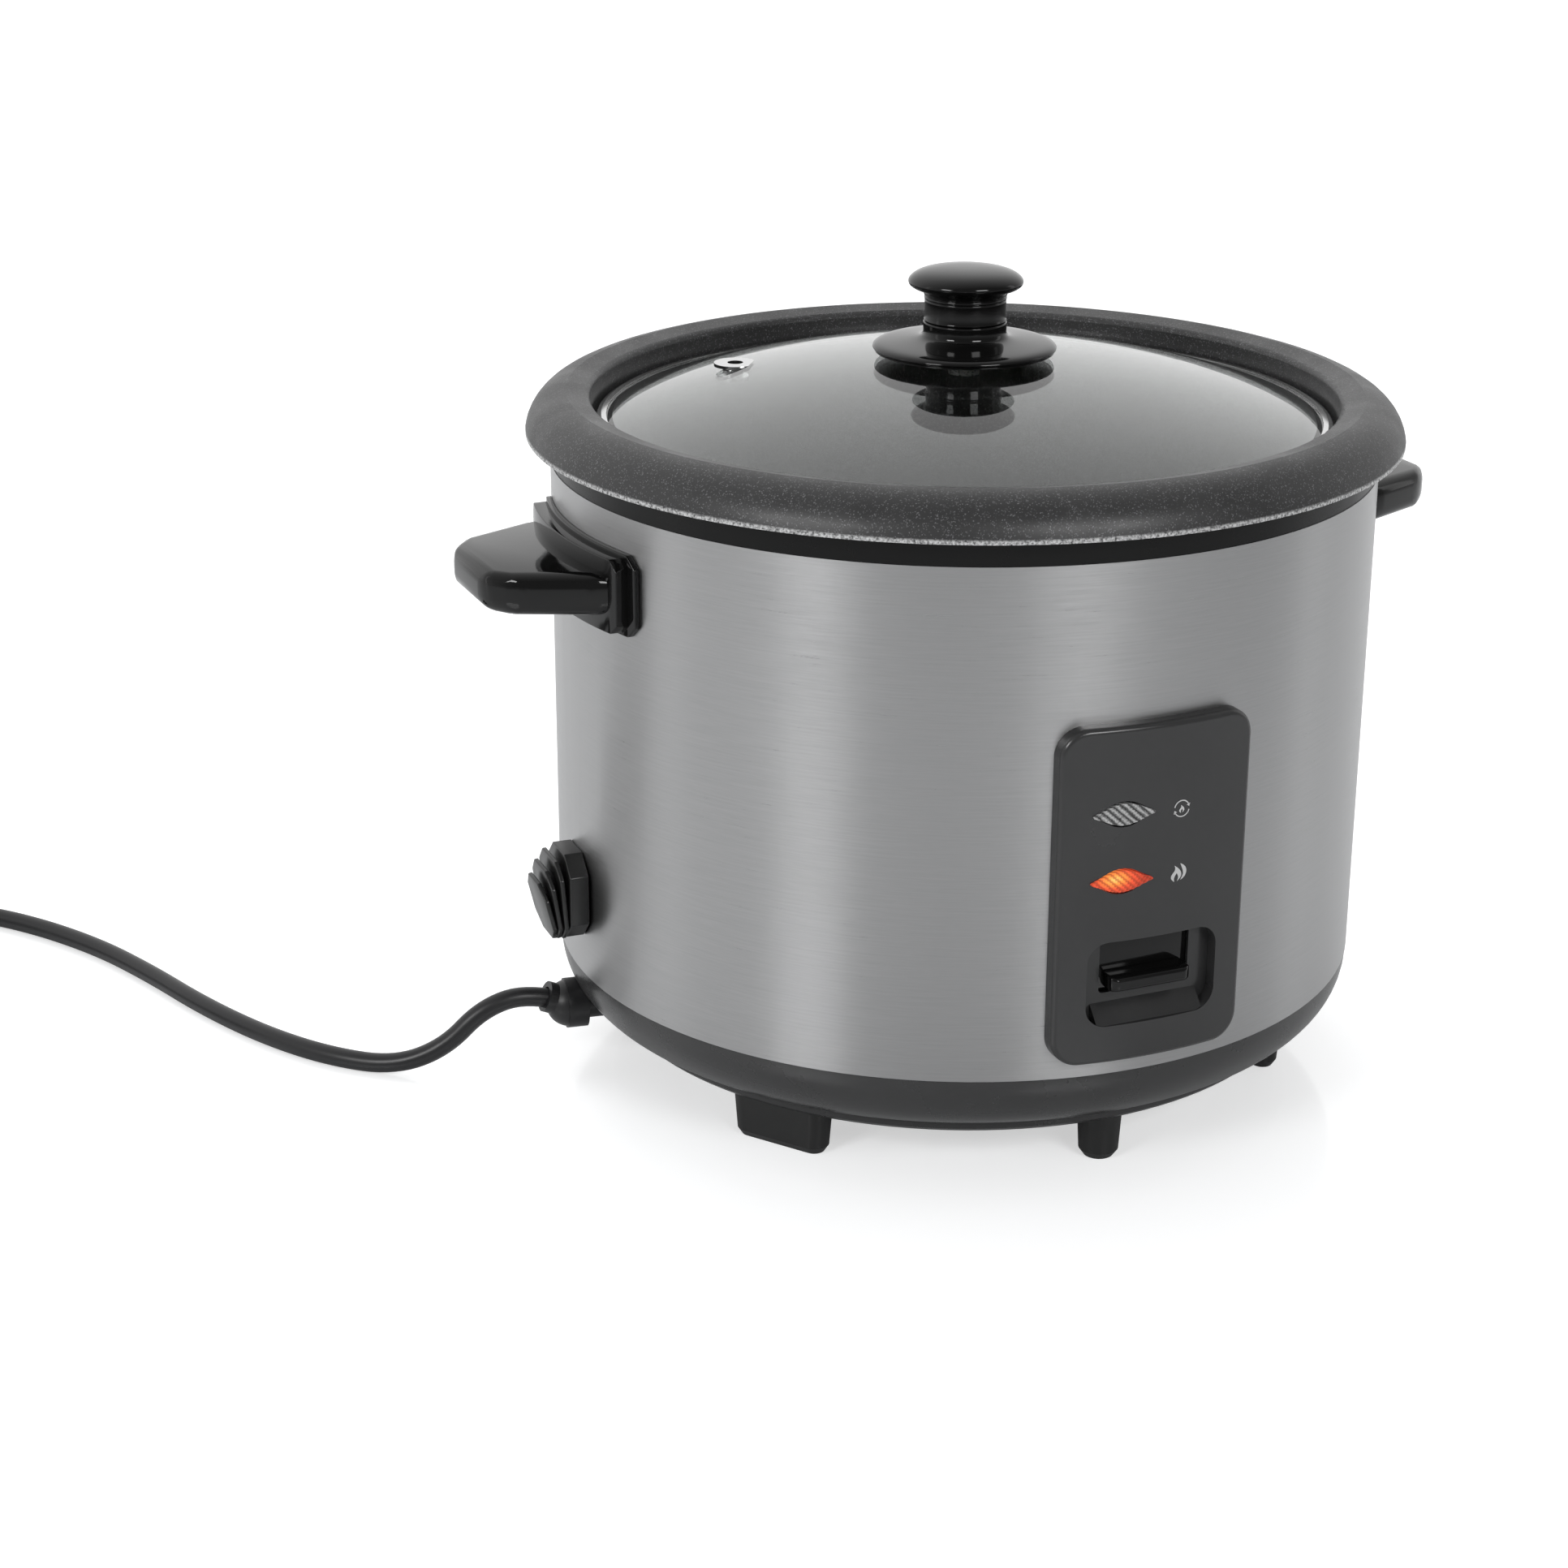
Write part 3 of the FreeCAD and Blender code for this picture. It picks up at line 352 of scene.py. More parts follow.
def pick(kind, wanted):
    """In edit mode, selects the faces, edges or vertices that pass the test and nothing else."""
    bpy.ops.mesh.select_mode(type=kind)
    bpy.ops.mesh.select_all(action="DESELECT")
    shape = bmesh.from_edit_mesh(bpy.context.object.data)
    for item in {"FACE": shape.faces, "EDGE": shape.edges, "VERT": shape.verts}[kind]:
        item.select_set(bool(wanted(item)))
    shape.select_flush_mode()
    bmesh.update_edit_mesh(bpy.context.object.data)


def settle(piece, body, material):
    """Puts the piece's place in its mesh, smooths its faces, and hands it to its body and finish."""
    bpy.ops.object.select_all(action="DESELECT")
    piece.select_set(True)
    bpy.context.view_layer.objects.active = piece
    bpy.ops.object.transform_apply(location=True, rotation=True, scale=True)
    bpy.ops.object.shade_smooth_by_angle(angle=math.radians(38))
    piece.data.materials.clear()
    piece.data.materials.append(material)
    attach(piece, body)


def apply_modifiers(piece):
    bpy.context.view_layer.objects.active = piece
    for modifier in list(piece.modifiers):
        bpy.ops.object.modifier_apply(modifier=modifier.name)


def eased(piece, width, segments, angle=30.0):
    """Rounds every edge sharper than the angle."""
    rounding = piece.modifiers.new("eased_edges", "BEVEL")
    rounding.width = width
    rounding.segments = segments
    rounding.limit_method = "ANGLE"
    rounding.angle_limit = math.radians(angle)
    apply_modifiers(piece)


def curved_plate(name, inner, outer, width, low, high):
    """An upright rectangle spun round the body's axis, centred on the front."""
    bpy.ops.object.select_all(action="DESELECT")
    bpy.ops.mesh.primitive_plane_add(size=1, location=(0, -(inner + outer) / 2, (low + high) / 2),
                                     rotation=(0, math.pi / 2, 0))
    piece = bpy.context.object
    piece.name = name
    piece.scale = (high - low, outer - inner, 1)
    bpy.ops.object.transform_apply(location=True, rotation=True, scale=True)
    half = math.asin(width / 2 / outer)
    bpy.ops.object.mode_set(mode="EDIT")
    bpy.ops.mesh.select_all(action="SELECT")
    bpy.ops.mesh.spin(steps=24, angle=2 * half, center=(0, 0, 0), axis=(0, 0, 1))
    bpy.ops.mesh.select_all(action="SELECT")
    bpy.ops.mesh.normals_make_consistent(inside=False)
    bpy.ops.object.mode_set(mode="OBJECT")
    sides = [math.atan2(vertex.co.x, -vertex.co.y) for vertex in piece.data.vertices]
    piece.rotation_euler.z = -(max(sides) + min(sides)) / 2
    bpy.ops.object.transform_apply(location=True, rotation=True, scale=True)
    return piece


back_seam = curved_plate("shell_back_seam", SHELL_R - 0.0002, SHELL_R + 0.00035, 0.009, 0.0368, 0.1792)
eased(back_seam, 0.00015, 2)
back_seam.rotation_euler.z = math.pi
settle(back_seam, "cooker", brushed_steel)

# ---- Collar, liner and base ----
# A satin black collar closes the top of the shell, an aluminised liner hangs inside it, and a deep moulded
# base of black heat-resisting plastic carries everything on six feet.
collar_black = moulding("collar_black", (0.002, 0.002, 0.002), (0.005, 0.005, 0.005), 0.22, 0.34, 700.0, 0.06)
collar_black.node_tree.nodes["Principled BSDF"].inputs["Specular IOR Level"].default_value = 0.22
dress(collar_black, "upper_collar")
liner_sheet = brushed("liner_sheet", (0.52, 0.52, 0.51), (0.70, 0.70, 0.69), 0.28, 0.46, 700.0, 0.15)
dress(liner_sheet, "heat_liner")
base_plastic = moulding("base_plastic", (0.024, 0.024, 0.0245), (0.038, 0.038, 0.0385), 0.24, 0.32, 500.0,
                        0.03)
dress(base_plastic, "base_tray")
foot_plastic = moulding("foot_plastic", (0.006, 0.006, 0.006), (0.012, 0.012, 0.012), 0.42, 0.56, 900.0, 0.20)
dress(foot_plastic, "foot_front", "foot_back", "foot_front_left", "foot_front_right", "foot_back_left",
      "foot_back_right")
zinc_sheet = brushed("zinc_sheet", (0.42, 0.43, 0.44), (0.62, 0.63, 0.64), 0.30, 0.52, 240.0, 0.20)
dress(zinc_sheet, "chassis_plate", "pivot_bracket", "switch_lever", "liner_posts", "rod_guide")
screw_zinc = brushed("screw_zinc", (0.50, 0.50, 0.48), (0.72, 0.72, 0.70), 0.22, 0.36, 2600.0, 0.15)
dress(screw_zinc, "foot_screws", "post_screws", "plate_screws", "terminal_screws", "handle_screws",
      "knob_screw", "knob_washer", "pivot_pin")

# ---- Heating plate, thermostat and wiring ----
# Cast aluminium plate turned flat on top with a tubular element in its underside, a sprung sensor cap at its
# middle, and white glass-fibre leads to the terminal block, fuse and microswitch under the liner.
turned_aluminium = brushed("turned_aluminium", (0.48, 0.48, 0.48), (0.72, 0.72, 0.71), 0.25, 0.42, 2200.0,
                           0.35)
dress(turned_aluminium, "heating_plate", "sensor_cap")
sheath_steel = brushed("sheath_steel", (0.20, 0.20, 0.19), (0.34, 0.33, 0.31), 0.35, 0.55, 900.0, 0.20)
dress(sheath_steel, "heating_element", "magnet_rod", "thermal_fuse")
magnet_iron = brushed("magnet_iron", (0.05, 0.05, 0.055), (0.10, 0.10, 0.105), 0.35, 0.50, 1500.0, 0.20)
dress(magnet_iron, "ferrite_disc", "magnet")
spring_wire = brushed("spring_wire", (0.46, 0.46, 0.47), (0.70, 0.70, 0.71), 0.14, 0.26, 3000.0, 0.10)
dress(spring_wire, "sensor_spring", "release_spring")
switch_black = moulding("switch_black", (0.012, 0.012, 0.012), (0.026, 0.026, 0.026), 0.40, 0.55, 1200.0,
                        0.30)
dress(switch_black, "microswitch")
switch_red = moulding("switch_red", (0.42, 0.02, 0.015), (0.55, 0.04, 0.03), 0.30, 0.42, 1200.0, 0.20)
dress(switch_red, "switch_button")
terminal_ceramic = moulding("terminal_ceramic", (0.66, 0.65, 0.61), (0.80, 0.79, 0.76), 0.30, 0.50, 900.0,
                            0.30)
dress(terminal_ceramic, "terminal_block", "lamp_carrier")
wire_fibre = moulding("wire_fibre", (0.60, 0.59, 0.56), (0.78, 0.77, 0.74), 0.60, 0.80, 2600.0, 0.70)
dress(wire_fibre, "inner_wires")

# ---- Control panel ----
# One satin black moulding with a bevelled edge, screwed on from inside; a well in its lower half holds the
# lever. The edge is polished on the real panel but gets the same satin finish as the face here. The two
# function signs beside the lenses are pad printed in grey.
panel_plastic = moulding("panel_plastic", (0.022, 0.022, 0.0225), (0.034, 0.034, 0.0345), 0.18, 0.28, 500.0,
                         0.03)
dress(panel_plastic, "control_panel")
PANEL_R = 0.1222
print_grey = moulding("print_grey", (0.50, 0.50, 0.50), (0.60, 0.60, 0.60), 0.50, 0.65, 2600.0, 0.20)


def flat_sign(name, outlines, thickness, smooth=True):
    """A flat closed curve for each outline (x, z in mm), filled and made a mesh standing on edge."""
    drawing = bpy.data.curves.new(name, "CURVE")
    drawing.dimensions = "2D"
    drawing.fill_mode = "BOTH"
    drawing.extrude = thickness / 2
    for outline in outlines:
        line = drawing.splines.new("NURBS" if smooth else "POLY")
        line.points.add(len(outline) - 1)
        for point, (x, z) in zip(line.points, outline):
            point.co = (x / 1000, z / 1000, 0, 1)
        line.use_cyclic_u = True
        if smooth:
            line.order_u = 3
            line.resolution_u = 6
    sign = bpy.data.objects.new(name, drawing)
    bpy.context.scene.collection.objects.link(sign)
    bpy.ops.object.select_all(action="DESELECT")
    sign.select_set(True)
    bpy.context.view_layer.objects.active = sign
    bpy.ops.object.convert(target="MESH")
    sign = bpy.context.object
    sign.rotation_euler.x = math.pi / 2
    bpy.ops.object.transform_apply(location=True, rotation=True, scale=True)
    bpy.ops.object.mode_set(mode="EDIT")
    bpy.ops.mesh.select_all(action="SELECT")
    bpy.ops.mesh.remove_doubles(threshold=0.000002)
    bpy.ops.mesh.normals_make_consistent(inside=False)
    bpy.ops.object.mode_set(mode="OBJECT")
    return sign


def on_panel(piece, out, across_mm, height):
    """Moves a piece drawn at the origin to the panel's curved face."""
    lean = math.asin(across_mm / 1000 / PANEL_R)
    piece.location = (math.sin(lean) * out, -math.cos(lean) * out, height)
    piece.rotation_euler.z = lean


PRINT_THICK = 0.00004
PRINT_OUT = PANEL_R + 0.00003
tall_flame = [(-1.25, 2.15), (-1.25, 2.15), (-0.2, 1.35), (0.75, 0.35), (1.0, -0.7), (0.55, -1.7),
              (-0.35, -2.4), (-0.35, -2.4), (0.0, -1.55), (-0.1, -0.8), (-0.5, -0.05), (-0.5, -0.05),
              (-1.05, -0.8), (-1.35, -1.55), (-1.2, -2.45), (-1.2, -2.45), (-2.05, -1.85), (-2.35, -1.0),
              (-1.85, -0.1), (-1.1, 0.6), (-1.0, 1.4)]
side_flame = [(0.5, 2.55), (0.5, 2.55), (1.5, 2.05), (2.35, 1.05), (2.5, 0.0), (2.2, -1.0), (1.5, -1.8),
              (0.65, -2.2), (0.65, -2.2), (1.2, -1.3), (1.5, -0.4), (1.35, 0.55), (0.95, 1.4)]
cook_sign = flat_sign("cook_sign", [tall_flame, side_flame], PRINT_THICK)
on_panel(cook_sign, PRINT_OUT, 6.0, 0.0936)
settle(cook_sign, "cooker", print_grey)

RING = 2.25
RING_W = 0.15
warm_outlines = []
for start in (25, 205):
    sweep = [math.radians(start + 9.5 * step) for step in range(16)]
    outer_side = [((RING + RING_W) * math.cos(a), (RING + RING_W) * math.sin(a)) for a in sweep]
    inner_side = [((RING - RING_W) * math.cos(a), (RING - RING_W) * math.sin(a)) for a in reversed(sweep)]
    warm_outlines.append(outer_side + inner_side)
    tip, base = math.radians(start - 16), math.radians(start + 3)
    warm_outlines.append([(RING * math.cos(tip), RING * math.sin(tip)),
                          ((RING + 0.55) * math.cos(base), (RING + 0.55) * math.sin(base)),
                          ((RING - 0.55) * math.cos(base), (RING - 0.55) * math.sin(base))])
warm_rings = flat_sign("keep_warm_sign", warm_outlines, PRINT_THICK, smooth=False)
small_flame = [(0.48 * x + 0.30, 0.48 * z) for x, z in tall_flame]
warm_flame = flat_sign("keep_warm_flame", [small_flame], PRINT_THICK)
bpy.ops.object.select_all(action="DESELECT")
warm_flame.select_set(True)
warm_rings.select_set(True)
bpy.context.view_layer.objects.active = warm_rings
bpy.ops.object.join()
on_panel(warm_rings, PRINT_OUT, 6.1, 0.1117)
settle(warm_rings, "cooker", print_grey)

# ---- Indicator lenses and lamps ----
# Two clear pointed-oval lenses snapped into the panel, ribbed on the face to spread the light of the neon
# lamps behind them. The upper one is off and looks grey, its colour painted in dark and light diagonal stripes
# as painted shade and highlight on its ribs; the lower one glows from amber to red.
LENS_MM = -10.8
LENS_WARM_Z = 0.1124
LENS_COOK_Z = 0.0936
half_lens = [(-8.8, -0.30), (-6.4, -1.15), (-3.8, -2.35), (0.0, -3.25), (3.8, -2.35), (6.4, -1.15),
             (8.8, -0.30)]
lens_outline = half_lens + [(x, -z) for x, z in reversed(half_lens)]


def ribbed_sheet(name, lean):
    """A thick sheet folded into sharp ribs a little under a millimetre apart, leaning over."""
    bpy.ops.object.select_all(action="DESELECT")
    bpy.ops.mesh.primitive_grid_add(x_subdivisions=52, y_subdivisions=2, size=1, rotation=(math.pi / 2, 0, 0))
    sheet = bpy.context.object
    sheet.name = name
    sheet.scale = (0.024, 0.024, 1)
    bpy.ops.object.transform_apply(location=True, rotation=True, scale=True)
    rib_step = 0.024 / 52
    bpy.ops.object.mode_set(mode="EDIT")
    pick("VERT", lambda vertex: round((vertex.co.x + 0.012) / rib_step) % 2 == 1)
    bpy.ops.transform.translate(value=(0, -0.00030, 0))
    bpy.ops.mesh.select_all(action="SELECT")
    bpy.ops.mesh.extrude_region_move(TRANSFORM_OT_translate={"value": (0, 0.003, 0)})
    bpy.ops.mesh.select_all(action="SELECT")
    bpy.ops.mesh.normals_make_consistent(inside=False)
    bpy.ops.object.mode_set(mode="OBJECT")
    sheet.rotation_euler.y = math.radians(lean)
    bpy.ops.object.transform_apply(location=True, rotation=True, scale=True)
    return sheet


def keep_common(piece, cutter):
    overlap = piece.modifiers.new("common", "BOOLEAN")
    overlap.operation = "INTERSECT"
    overlap.solver = "EXACT"
    overlap.object = cutter
    bpy.context.view_layer.objects.active = piece
    bpy.ops.object.modifier_apply(modifier="common")
    bpy.data.objects.remove(cutter)


def ribbed_lens(name, height, leans, material, node):
    lens = flat_sign(name, [lens_outline], 0.0058)
    for number, lean in enumerate(leans):
        keep_common(lens, ribbed_sheet("rib_cutter_%d" % number, lean))
    on_panel(lens, PANEL_R + 0.0002, LENS_MM, height)
    settle(lens, "cooker", material)
    lens.data.shade_flat()
    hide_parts(node)
    return lens


lens_clear = moulding("lens_clear", (0.18, 0.18, 0.18), (0.42, 0.42, 0.42), 0.06, 0.16, 1200.0, 0.10)
clear_tree = lens_clear.node_tree
clear_place = clear_tree.nodes.new("ShaderNodeTexCoord")
# Painted shade and highlight: the clear lens's colour runs in diagonal stripes from near black to mid grey
# along its ribs.
rib_shade_stripes = clear_tree.nodes.new("ShaderNodeTexWave")
rib_shade_stripes.bands_direction = "DIAGONAL"
rib_shade_stripes.inputs["Scale"].default_value = 300.0
rib_shade_stripes.inputs["Distortion"].default_value = 0.9
rib_shade_stripes.inputs["Detail Scale"].default_value = 3.0
painted_rib_shading = clear_tree.nodes.new("ShaderNodeMix")
painted_rib_shading.data_type = "RGBA"
painted_rib_shading.inputs["A"].default_value = (0.05, 0.05, 0.05, 1)
painted_rib_shading.inputs["B"].default_value = (0.50, 0.50, 0.50, 1)
clear_tree.links.new(clear_place.outputs["Object"], rib_shade_stripes.inputs["Vector"])
clear_tree.links.new(rib_shade_stripes.outputs["Fac"], painted_rib_shading.inputs["Factor"])
clear_tree.links.new(painted_rib_shading.outputs["Result"], clear_tree.nodes["Principled BSDF"].inputs["Base Color"])
clear_tree.nodes["Principled BSDF"].inputs["Coat Weight"].default_value = 0.6
lens_lit = moulding("lens_lit", (0.30, 0.04, 0.02), (0.50, 0.10, 0.05), 0.06, 0.16, 1200.0, 0.10)
lit_tree = lens_lit.node_tree
lit_place = lit_tree.nodes.new("ShaderNodeTexCoord")
lit_from_lamp = lit_tree.nodes.new("ShaderNodeMapping")
lit_from_lamp.inputs["Location"].default_value = (0.0128 * 118, 0.1215 * 118, -0.0944 * 230)
lit_from_lamp.inputs["Scale"].default_value = (118, 118, 230)
lit_distance = lit_tree.nodes.new("ShaderNodeVectorMath")
lit_distance.operation = "LENGTH"
lit_ramp = lit_tree.nodes.new("ShaderNodeValToRGB")
lit_ramp.color_ramp.elements[0].color = (1.0, 0.78, 0.20, 1)
lit_ramp.color_ramp.elements[1].color = (0.22, 0.005, 0.005, 1)
lit_ramp.color_ramp.elements[1].position = 1.0
amber = lit_ramp.color_ramp.elements.new(0.30)
amber.color = (1.0, 0.36, 0.06, 1)
rose = lit_ramp.color_ramp.elements.new(0.60)
rose.color = (0.70, 0.08, 0.03, 1)
lit_tree.links.new(lit_place.outputs["Object"], lit_from_lamp.inputs["Vector"])
lit_tree.links.new(lit_from_lamp.outputs["Vector"], lit_distance.inputs[0])
lit_tree.links.new(lit_distance.outputs["Value"], lit_ramp.inputs["Fac"])
lit_ribs = lit_tree.nodes.new("ShaderNodeTexWave")
lit_ribs.bands_direction = "DIAGONAL"
lit_ribs.inputs["Scale"].default_value = 330.0
lit_ribs.inputs["Distortion"].default_value = 1.2
lit_shade = lit_tree.nodes.new("ShaderNodeMapRange")
lit_shade.inputs["To Min"].default_value = 0.35
lit_shade.inputs["To Max"].default_value = 1.15
lit_colour = lit_tree.nodes.new("ShaderNodeVectorMath")
lit_colour.operation = "SCALE"
lit_tree.links.new(lit_place.outputs["Object"], lit_ribs.inputs["Vector"])
lit_tree.links.new(lit_ribs.outputs["Fac"], lit_shade.inputs["Value"])
lit_tree.links.new(lit_ramp.outputs["Color"], lit_colour.inputs[0])
lit_tree.links.new(lit_shade.outputs["Result"], lit_colour.inputs["Scale"])
lit_tree.links.new(lit_colour.outputs["Vector"], lit_tree.nodes["Principled BSDF"].inputs["Emission Color"])
lit_tree.nodes["Principled BSDF"].inputs["Emission Strength"].default_value = 0.85
ribbed_lens("lens_keep_warm_ribbed", LENS_WARM_Z, (-50, 40), lens_clear, "lens_keep_warm")
ribbed_lens("lens_cook_ribbed", LENS_COOK_Z, (38,), lens_lit, "lens_cook")

lamp_glass = moulding("lamp_glass", (0.70, 0.66, 0.62), (0.85, 0.82, 0.80), 0.05, 0.12, 600.0, 0.10)
dress(lamp_glass, "lamp_keep_warm")
lamp_glow = moulding("lamp_glow", (0.90, 0.35, 0.10), (0.95, 0.50, 0.20), 0.10, 0.20, 600.0, 0.10)
lamp_glow.node_tree.nodes["Principled BSDF"].inputs["Emission Color"].default_value = (1.0, 0.45, 0.12, 1)
lamp_glow.node_tree.nodes["Principled BSDF"].inputs["Emission Strength"].default_value = 3.0
dress(lamp_glow, "lamp_cook")

# ---- Lever paddle ----
# A short glossy bar moulded over the end of the switch lever, rounded for the fingertip, with a thin black
# plate behind it, a dark sheet that stands in for the shade inside the slot.
gloss_black = moulding("gloss_black", (0.003, 0.003, 0.003), (0.006, 0.006, 0.006), 0.06, 0.14, 600.0, 0.03)
gloss_black.node_tree.nodes["Principled BSDF"].inputs["Specular IOR Level"].default_value = 0.36
bpy.ops.object.select_all(action="DESELECT")
bpy.ops.mesh.primitive_cube_add(size=1, location=(0, -0.1167, 0.0634))
paddle = bpy.context.object
paddle.name = "lever_paddle_moulded"
paddle.scale = (0.024, 0.0036, 0.0042)
bpy.ops.object.transform_apply(location=True, rotation=True, scale=True)
bpy.ops.object.mode_set(mode="EDIT")
pick("FACE", lambda face: face.normal.y < -0.9)
bpy.ops.mesh.extrude_region_move(TRANSFORM_OT_translate={"value": (0, -0.0018, -0.0002)})
bpy.ops.mesh.extrude_region_move(TRANSFORM_OT_translate={"value": (0, -0.0012, 0)})
bpy.ops.transform.resize(value=(0.86, 1, 0.72), center_override=(0, -0.1215, 0.0632))
bpy.ops.object.mode_set(mode="OBJECT")
eased(paddle, 0.0010, 5)
bpy.ops.object.select_all(action="DESELECT")
# Painted shade: a thin black plate behind the paddle fills the slot with dark where the inside would show.
bpy.ops.mesh.primitive_cube_add(size=1, location=(0, -0.1146, 0.0668))
slot_shade_sheet = bpy.context.object
slot_shade_sheet.scale = (0.0292, 0.0010, 0.0212)
bpy.ops.object.transform_apply(location=True, rotation=True, scale=True)
eased(slot_shade_sheet, 0.0003, 2)
paddle.select_set(True)
bpy.context.view_layer.objects.active = paddle
bpy.ops.object.join()
settle(paddle, "lever", gloss_black)
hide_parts("lever_paddle")

# ---- Side handles ----
# Glossy black mouldings: a curved foot that follows the shell, a thicker front plate with cut corners and
# a flat grip with rounded edges that narrows to its nose. Two screws hold each from inside the shell.
HANDLE_Z = 0.1584


def cut_corners(piece, width, low, high, cut):
    """Trims the four corners of a curved plate at 45 degrees."""
    bpy.context.view_layer.objects.active = piece
    for side in (-1, 1):
        for edge, up in ((low, -1), (high, 1)):
            bpy.ops.object.mode_set(mode="EDIT")
            bpy.ops.mesh.select_all(action="SELECT")
            bpy.ops.mesh.bisect(plane_co=(side * (width / 2 - cut), 0, edge), plane_no=(side, 0, up),
                                use_fill=True, clear_outer=True)
            bpy.ops.object.mode_set(mode="OBJECT")


def handle_plate(name, inner, outer, width, half_height, cut, rounding):
    low = HANDLE_Z - half_height
    high = HANDLE_Z + half_height
    plate = curved_plate(name, inner, outer, width, low, high)
    cut_corners(plate, width, low, high, cut)
    eased(plate, rounding, 3)
    return plate


handle_foot = handle_plate("handle_foot", SHELL_R + 0.00002, 0.1196, 0.072, 0.0114, 0.0035, 0.0005)
handle_front = handle_plate("handle_front", 0.1194, 0.1234, 0.068, 0.0104, 0.0030, 0.0007)
GRIP_Z = 0.1585
bpy.ops.object.select_all(action="DESELECT")
bpy.ops.mesh.primitive_cube_add(size=1, location=(0, -0.117, GRIP_Z))
handle = bpy.context.object
handle.name = "handle_left_moulded"
handle.scale = (0.061, 0.010, 0.0120)
bpy.ops.object.transform_apply(location=True, rotation=True, scale=True)
bpy.ops.object.mode_set(mode="EDIT")
pick("FACE", lambda face: face.normal.y < -0.9)
bpy.ops.mesh.extrude_region_move(TRANSFORM_OT_translate={"value": (0, -0.0205, 0)})
bpy.ops.transform.resize(value=(0.72, 1, 0.97), center_override=(0, -0.1425, GRIP_Z))
bpy.ops.mesh.extrude_region_move(TRANSFORM_OT_translate={"value": (0, -0.0070, 0)})
bpy.ops.transform.resize(value=(0.62, 1, 0.95), center_override=(0, -0.1495, GRIP_Z))
bpy.ops.object.mode_set(mode="OBJECT")
eased(handle, 0.0040, 8, 20.0)
bpy.ops.object.select_all(action="DESELECT")
bpy.ops.mesh.primitive_cylinder_add(vertices=256, radius=0.1193, depth=0.05, location=(0, 0, GRIP_Z))
shell_room = bpy.context.object
fitting = handle.modifiers.new("fitting", "BOOLEAN")
fitting.operation = "DIFFERENCE"
fitting.solver = "EXACT"
fitting.object = shell_room
apply_modifiers(handle)
bpy.data.objects.remove(shell_room)
bpy.ops.object.select_all(action="DESELECT")
for part in (handle_foot, handle_front, handle):
    part.select_set(True)
bpy.context.view_layer.objects.active = handle
bpy.ops.object.join()
handle_right = handle.copy()
handle_right.data = handle.data.copy()
handle_right.name = "handle_right_moulded"
bpy.context.scene.collection.objects.link(handle_right)
handle.rotation_euler.z = math.radians(-90)
handle_right.rotation_euler.z = math.radians(90)
settle(handle, "cooker", gloss_black)
settle(handle_right, "cooker", gloss_black)
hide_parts("handle_left")
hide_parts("handle_right")

# ---- Spoon holder ----
# A clip of matt black plastic on the left side: a block with cut corners and three fanned leaves in front
# of it that a serving spoon slides between.
holder_plastic = moulding("holder_plastic", (0.006, 0.006, 0.006), (0.012, 0.012, 0.012), 0.26, 0.38, 900.0,
                          0.12)
HOLDER_AZ = math.radians(-92.0)
HOLDER_LOW = 0.0485


def holder_leaf(name, width, height, thickness, cut, out, lean):
    bpy.ops.object.select_all(action="DESELECT")
    bpy.ops.mesh.primitive_cube_add(size=1, location=(0, -thickness / 2, height / 2))
    leaf = bpy.context.object
    leaf.name = name
    leaf.scale = (width, thickness, height)
    bpy.ops.object.transform_apply(location=True, rotation=True, scale=True)
    bpy.ops.object.mode_set(mode="EDIT")
    pick("EDGE", lambda edge: abs(edge.verts[0].co.y - edge.verts[1].co.y) > thickness / 2)
    bpy.ops.mesh.bevel(offset=cut, segments=1, affect="EDGES")
    bpy.ops.object.mode_set(mode="OBJECT")
    eased(leaf, 0.00035, 3)
    leaf.location = (0, -out, HOLDER_LOW)
    leaf.rotation_euler.x = math.radians(lean)
    bpy.ops.object.transform_apply(location=True, rotation=True, scale=True)
    return leaf


holder_parts = [holder_leaf("spoon_holder_moulded", 0.022, 0.0255, 0.0056, 0.0055, 0.1180, 0.0)]
for number, height in enumerate((0.0240, 0.0215, 0.0180)):
    holder_parts.append(holder_leaf("holder_leaf_%d" % number, 0.0210 - 0.0015 * number, height, 0.0013,
                                    0.0045, 0.1235 + 0.00125 * number, 4.5 * (number + 1)))
holder_parts.append(holder_leaf("holder_foot_bar", 0.012, 0.0034, 0.0042, 0.0008, 0.1230, 0.0))
bpy.ops.object.select_all(action="DESELECT")
for part in holder_parts:
    part.select_set(True)
spoon_holder = holder_parts[0]
bpy.context.view_layer.objects.active = spoon_holder
bpy.ops.object.join()
spoon_holder.rotation_euler.z = HOLDER_AZ
settle(spoon_holder, "cooker", holder_plastic)
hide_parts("spoon_holder")

# ---- Plug pins ----
# Two nickel-plated solid pins, 4.8 mm thick, that the plug's rubber is moulded round. They ride with the
# cord and have no other finish.
pin_nickel = brushed("pin_nickel", (0.60, 0.58, 0.52), (0.78, 0.76, 0.70), 0.12, 0.24, 2600.0, 0.08)
dress(pin_nickel, "plug_pins")

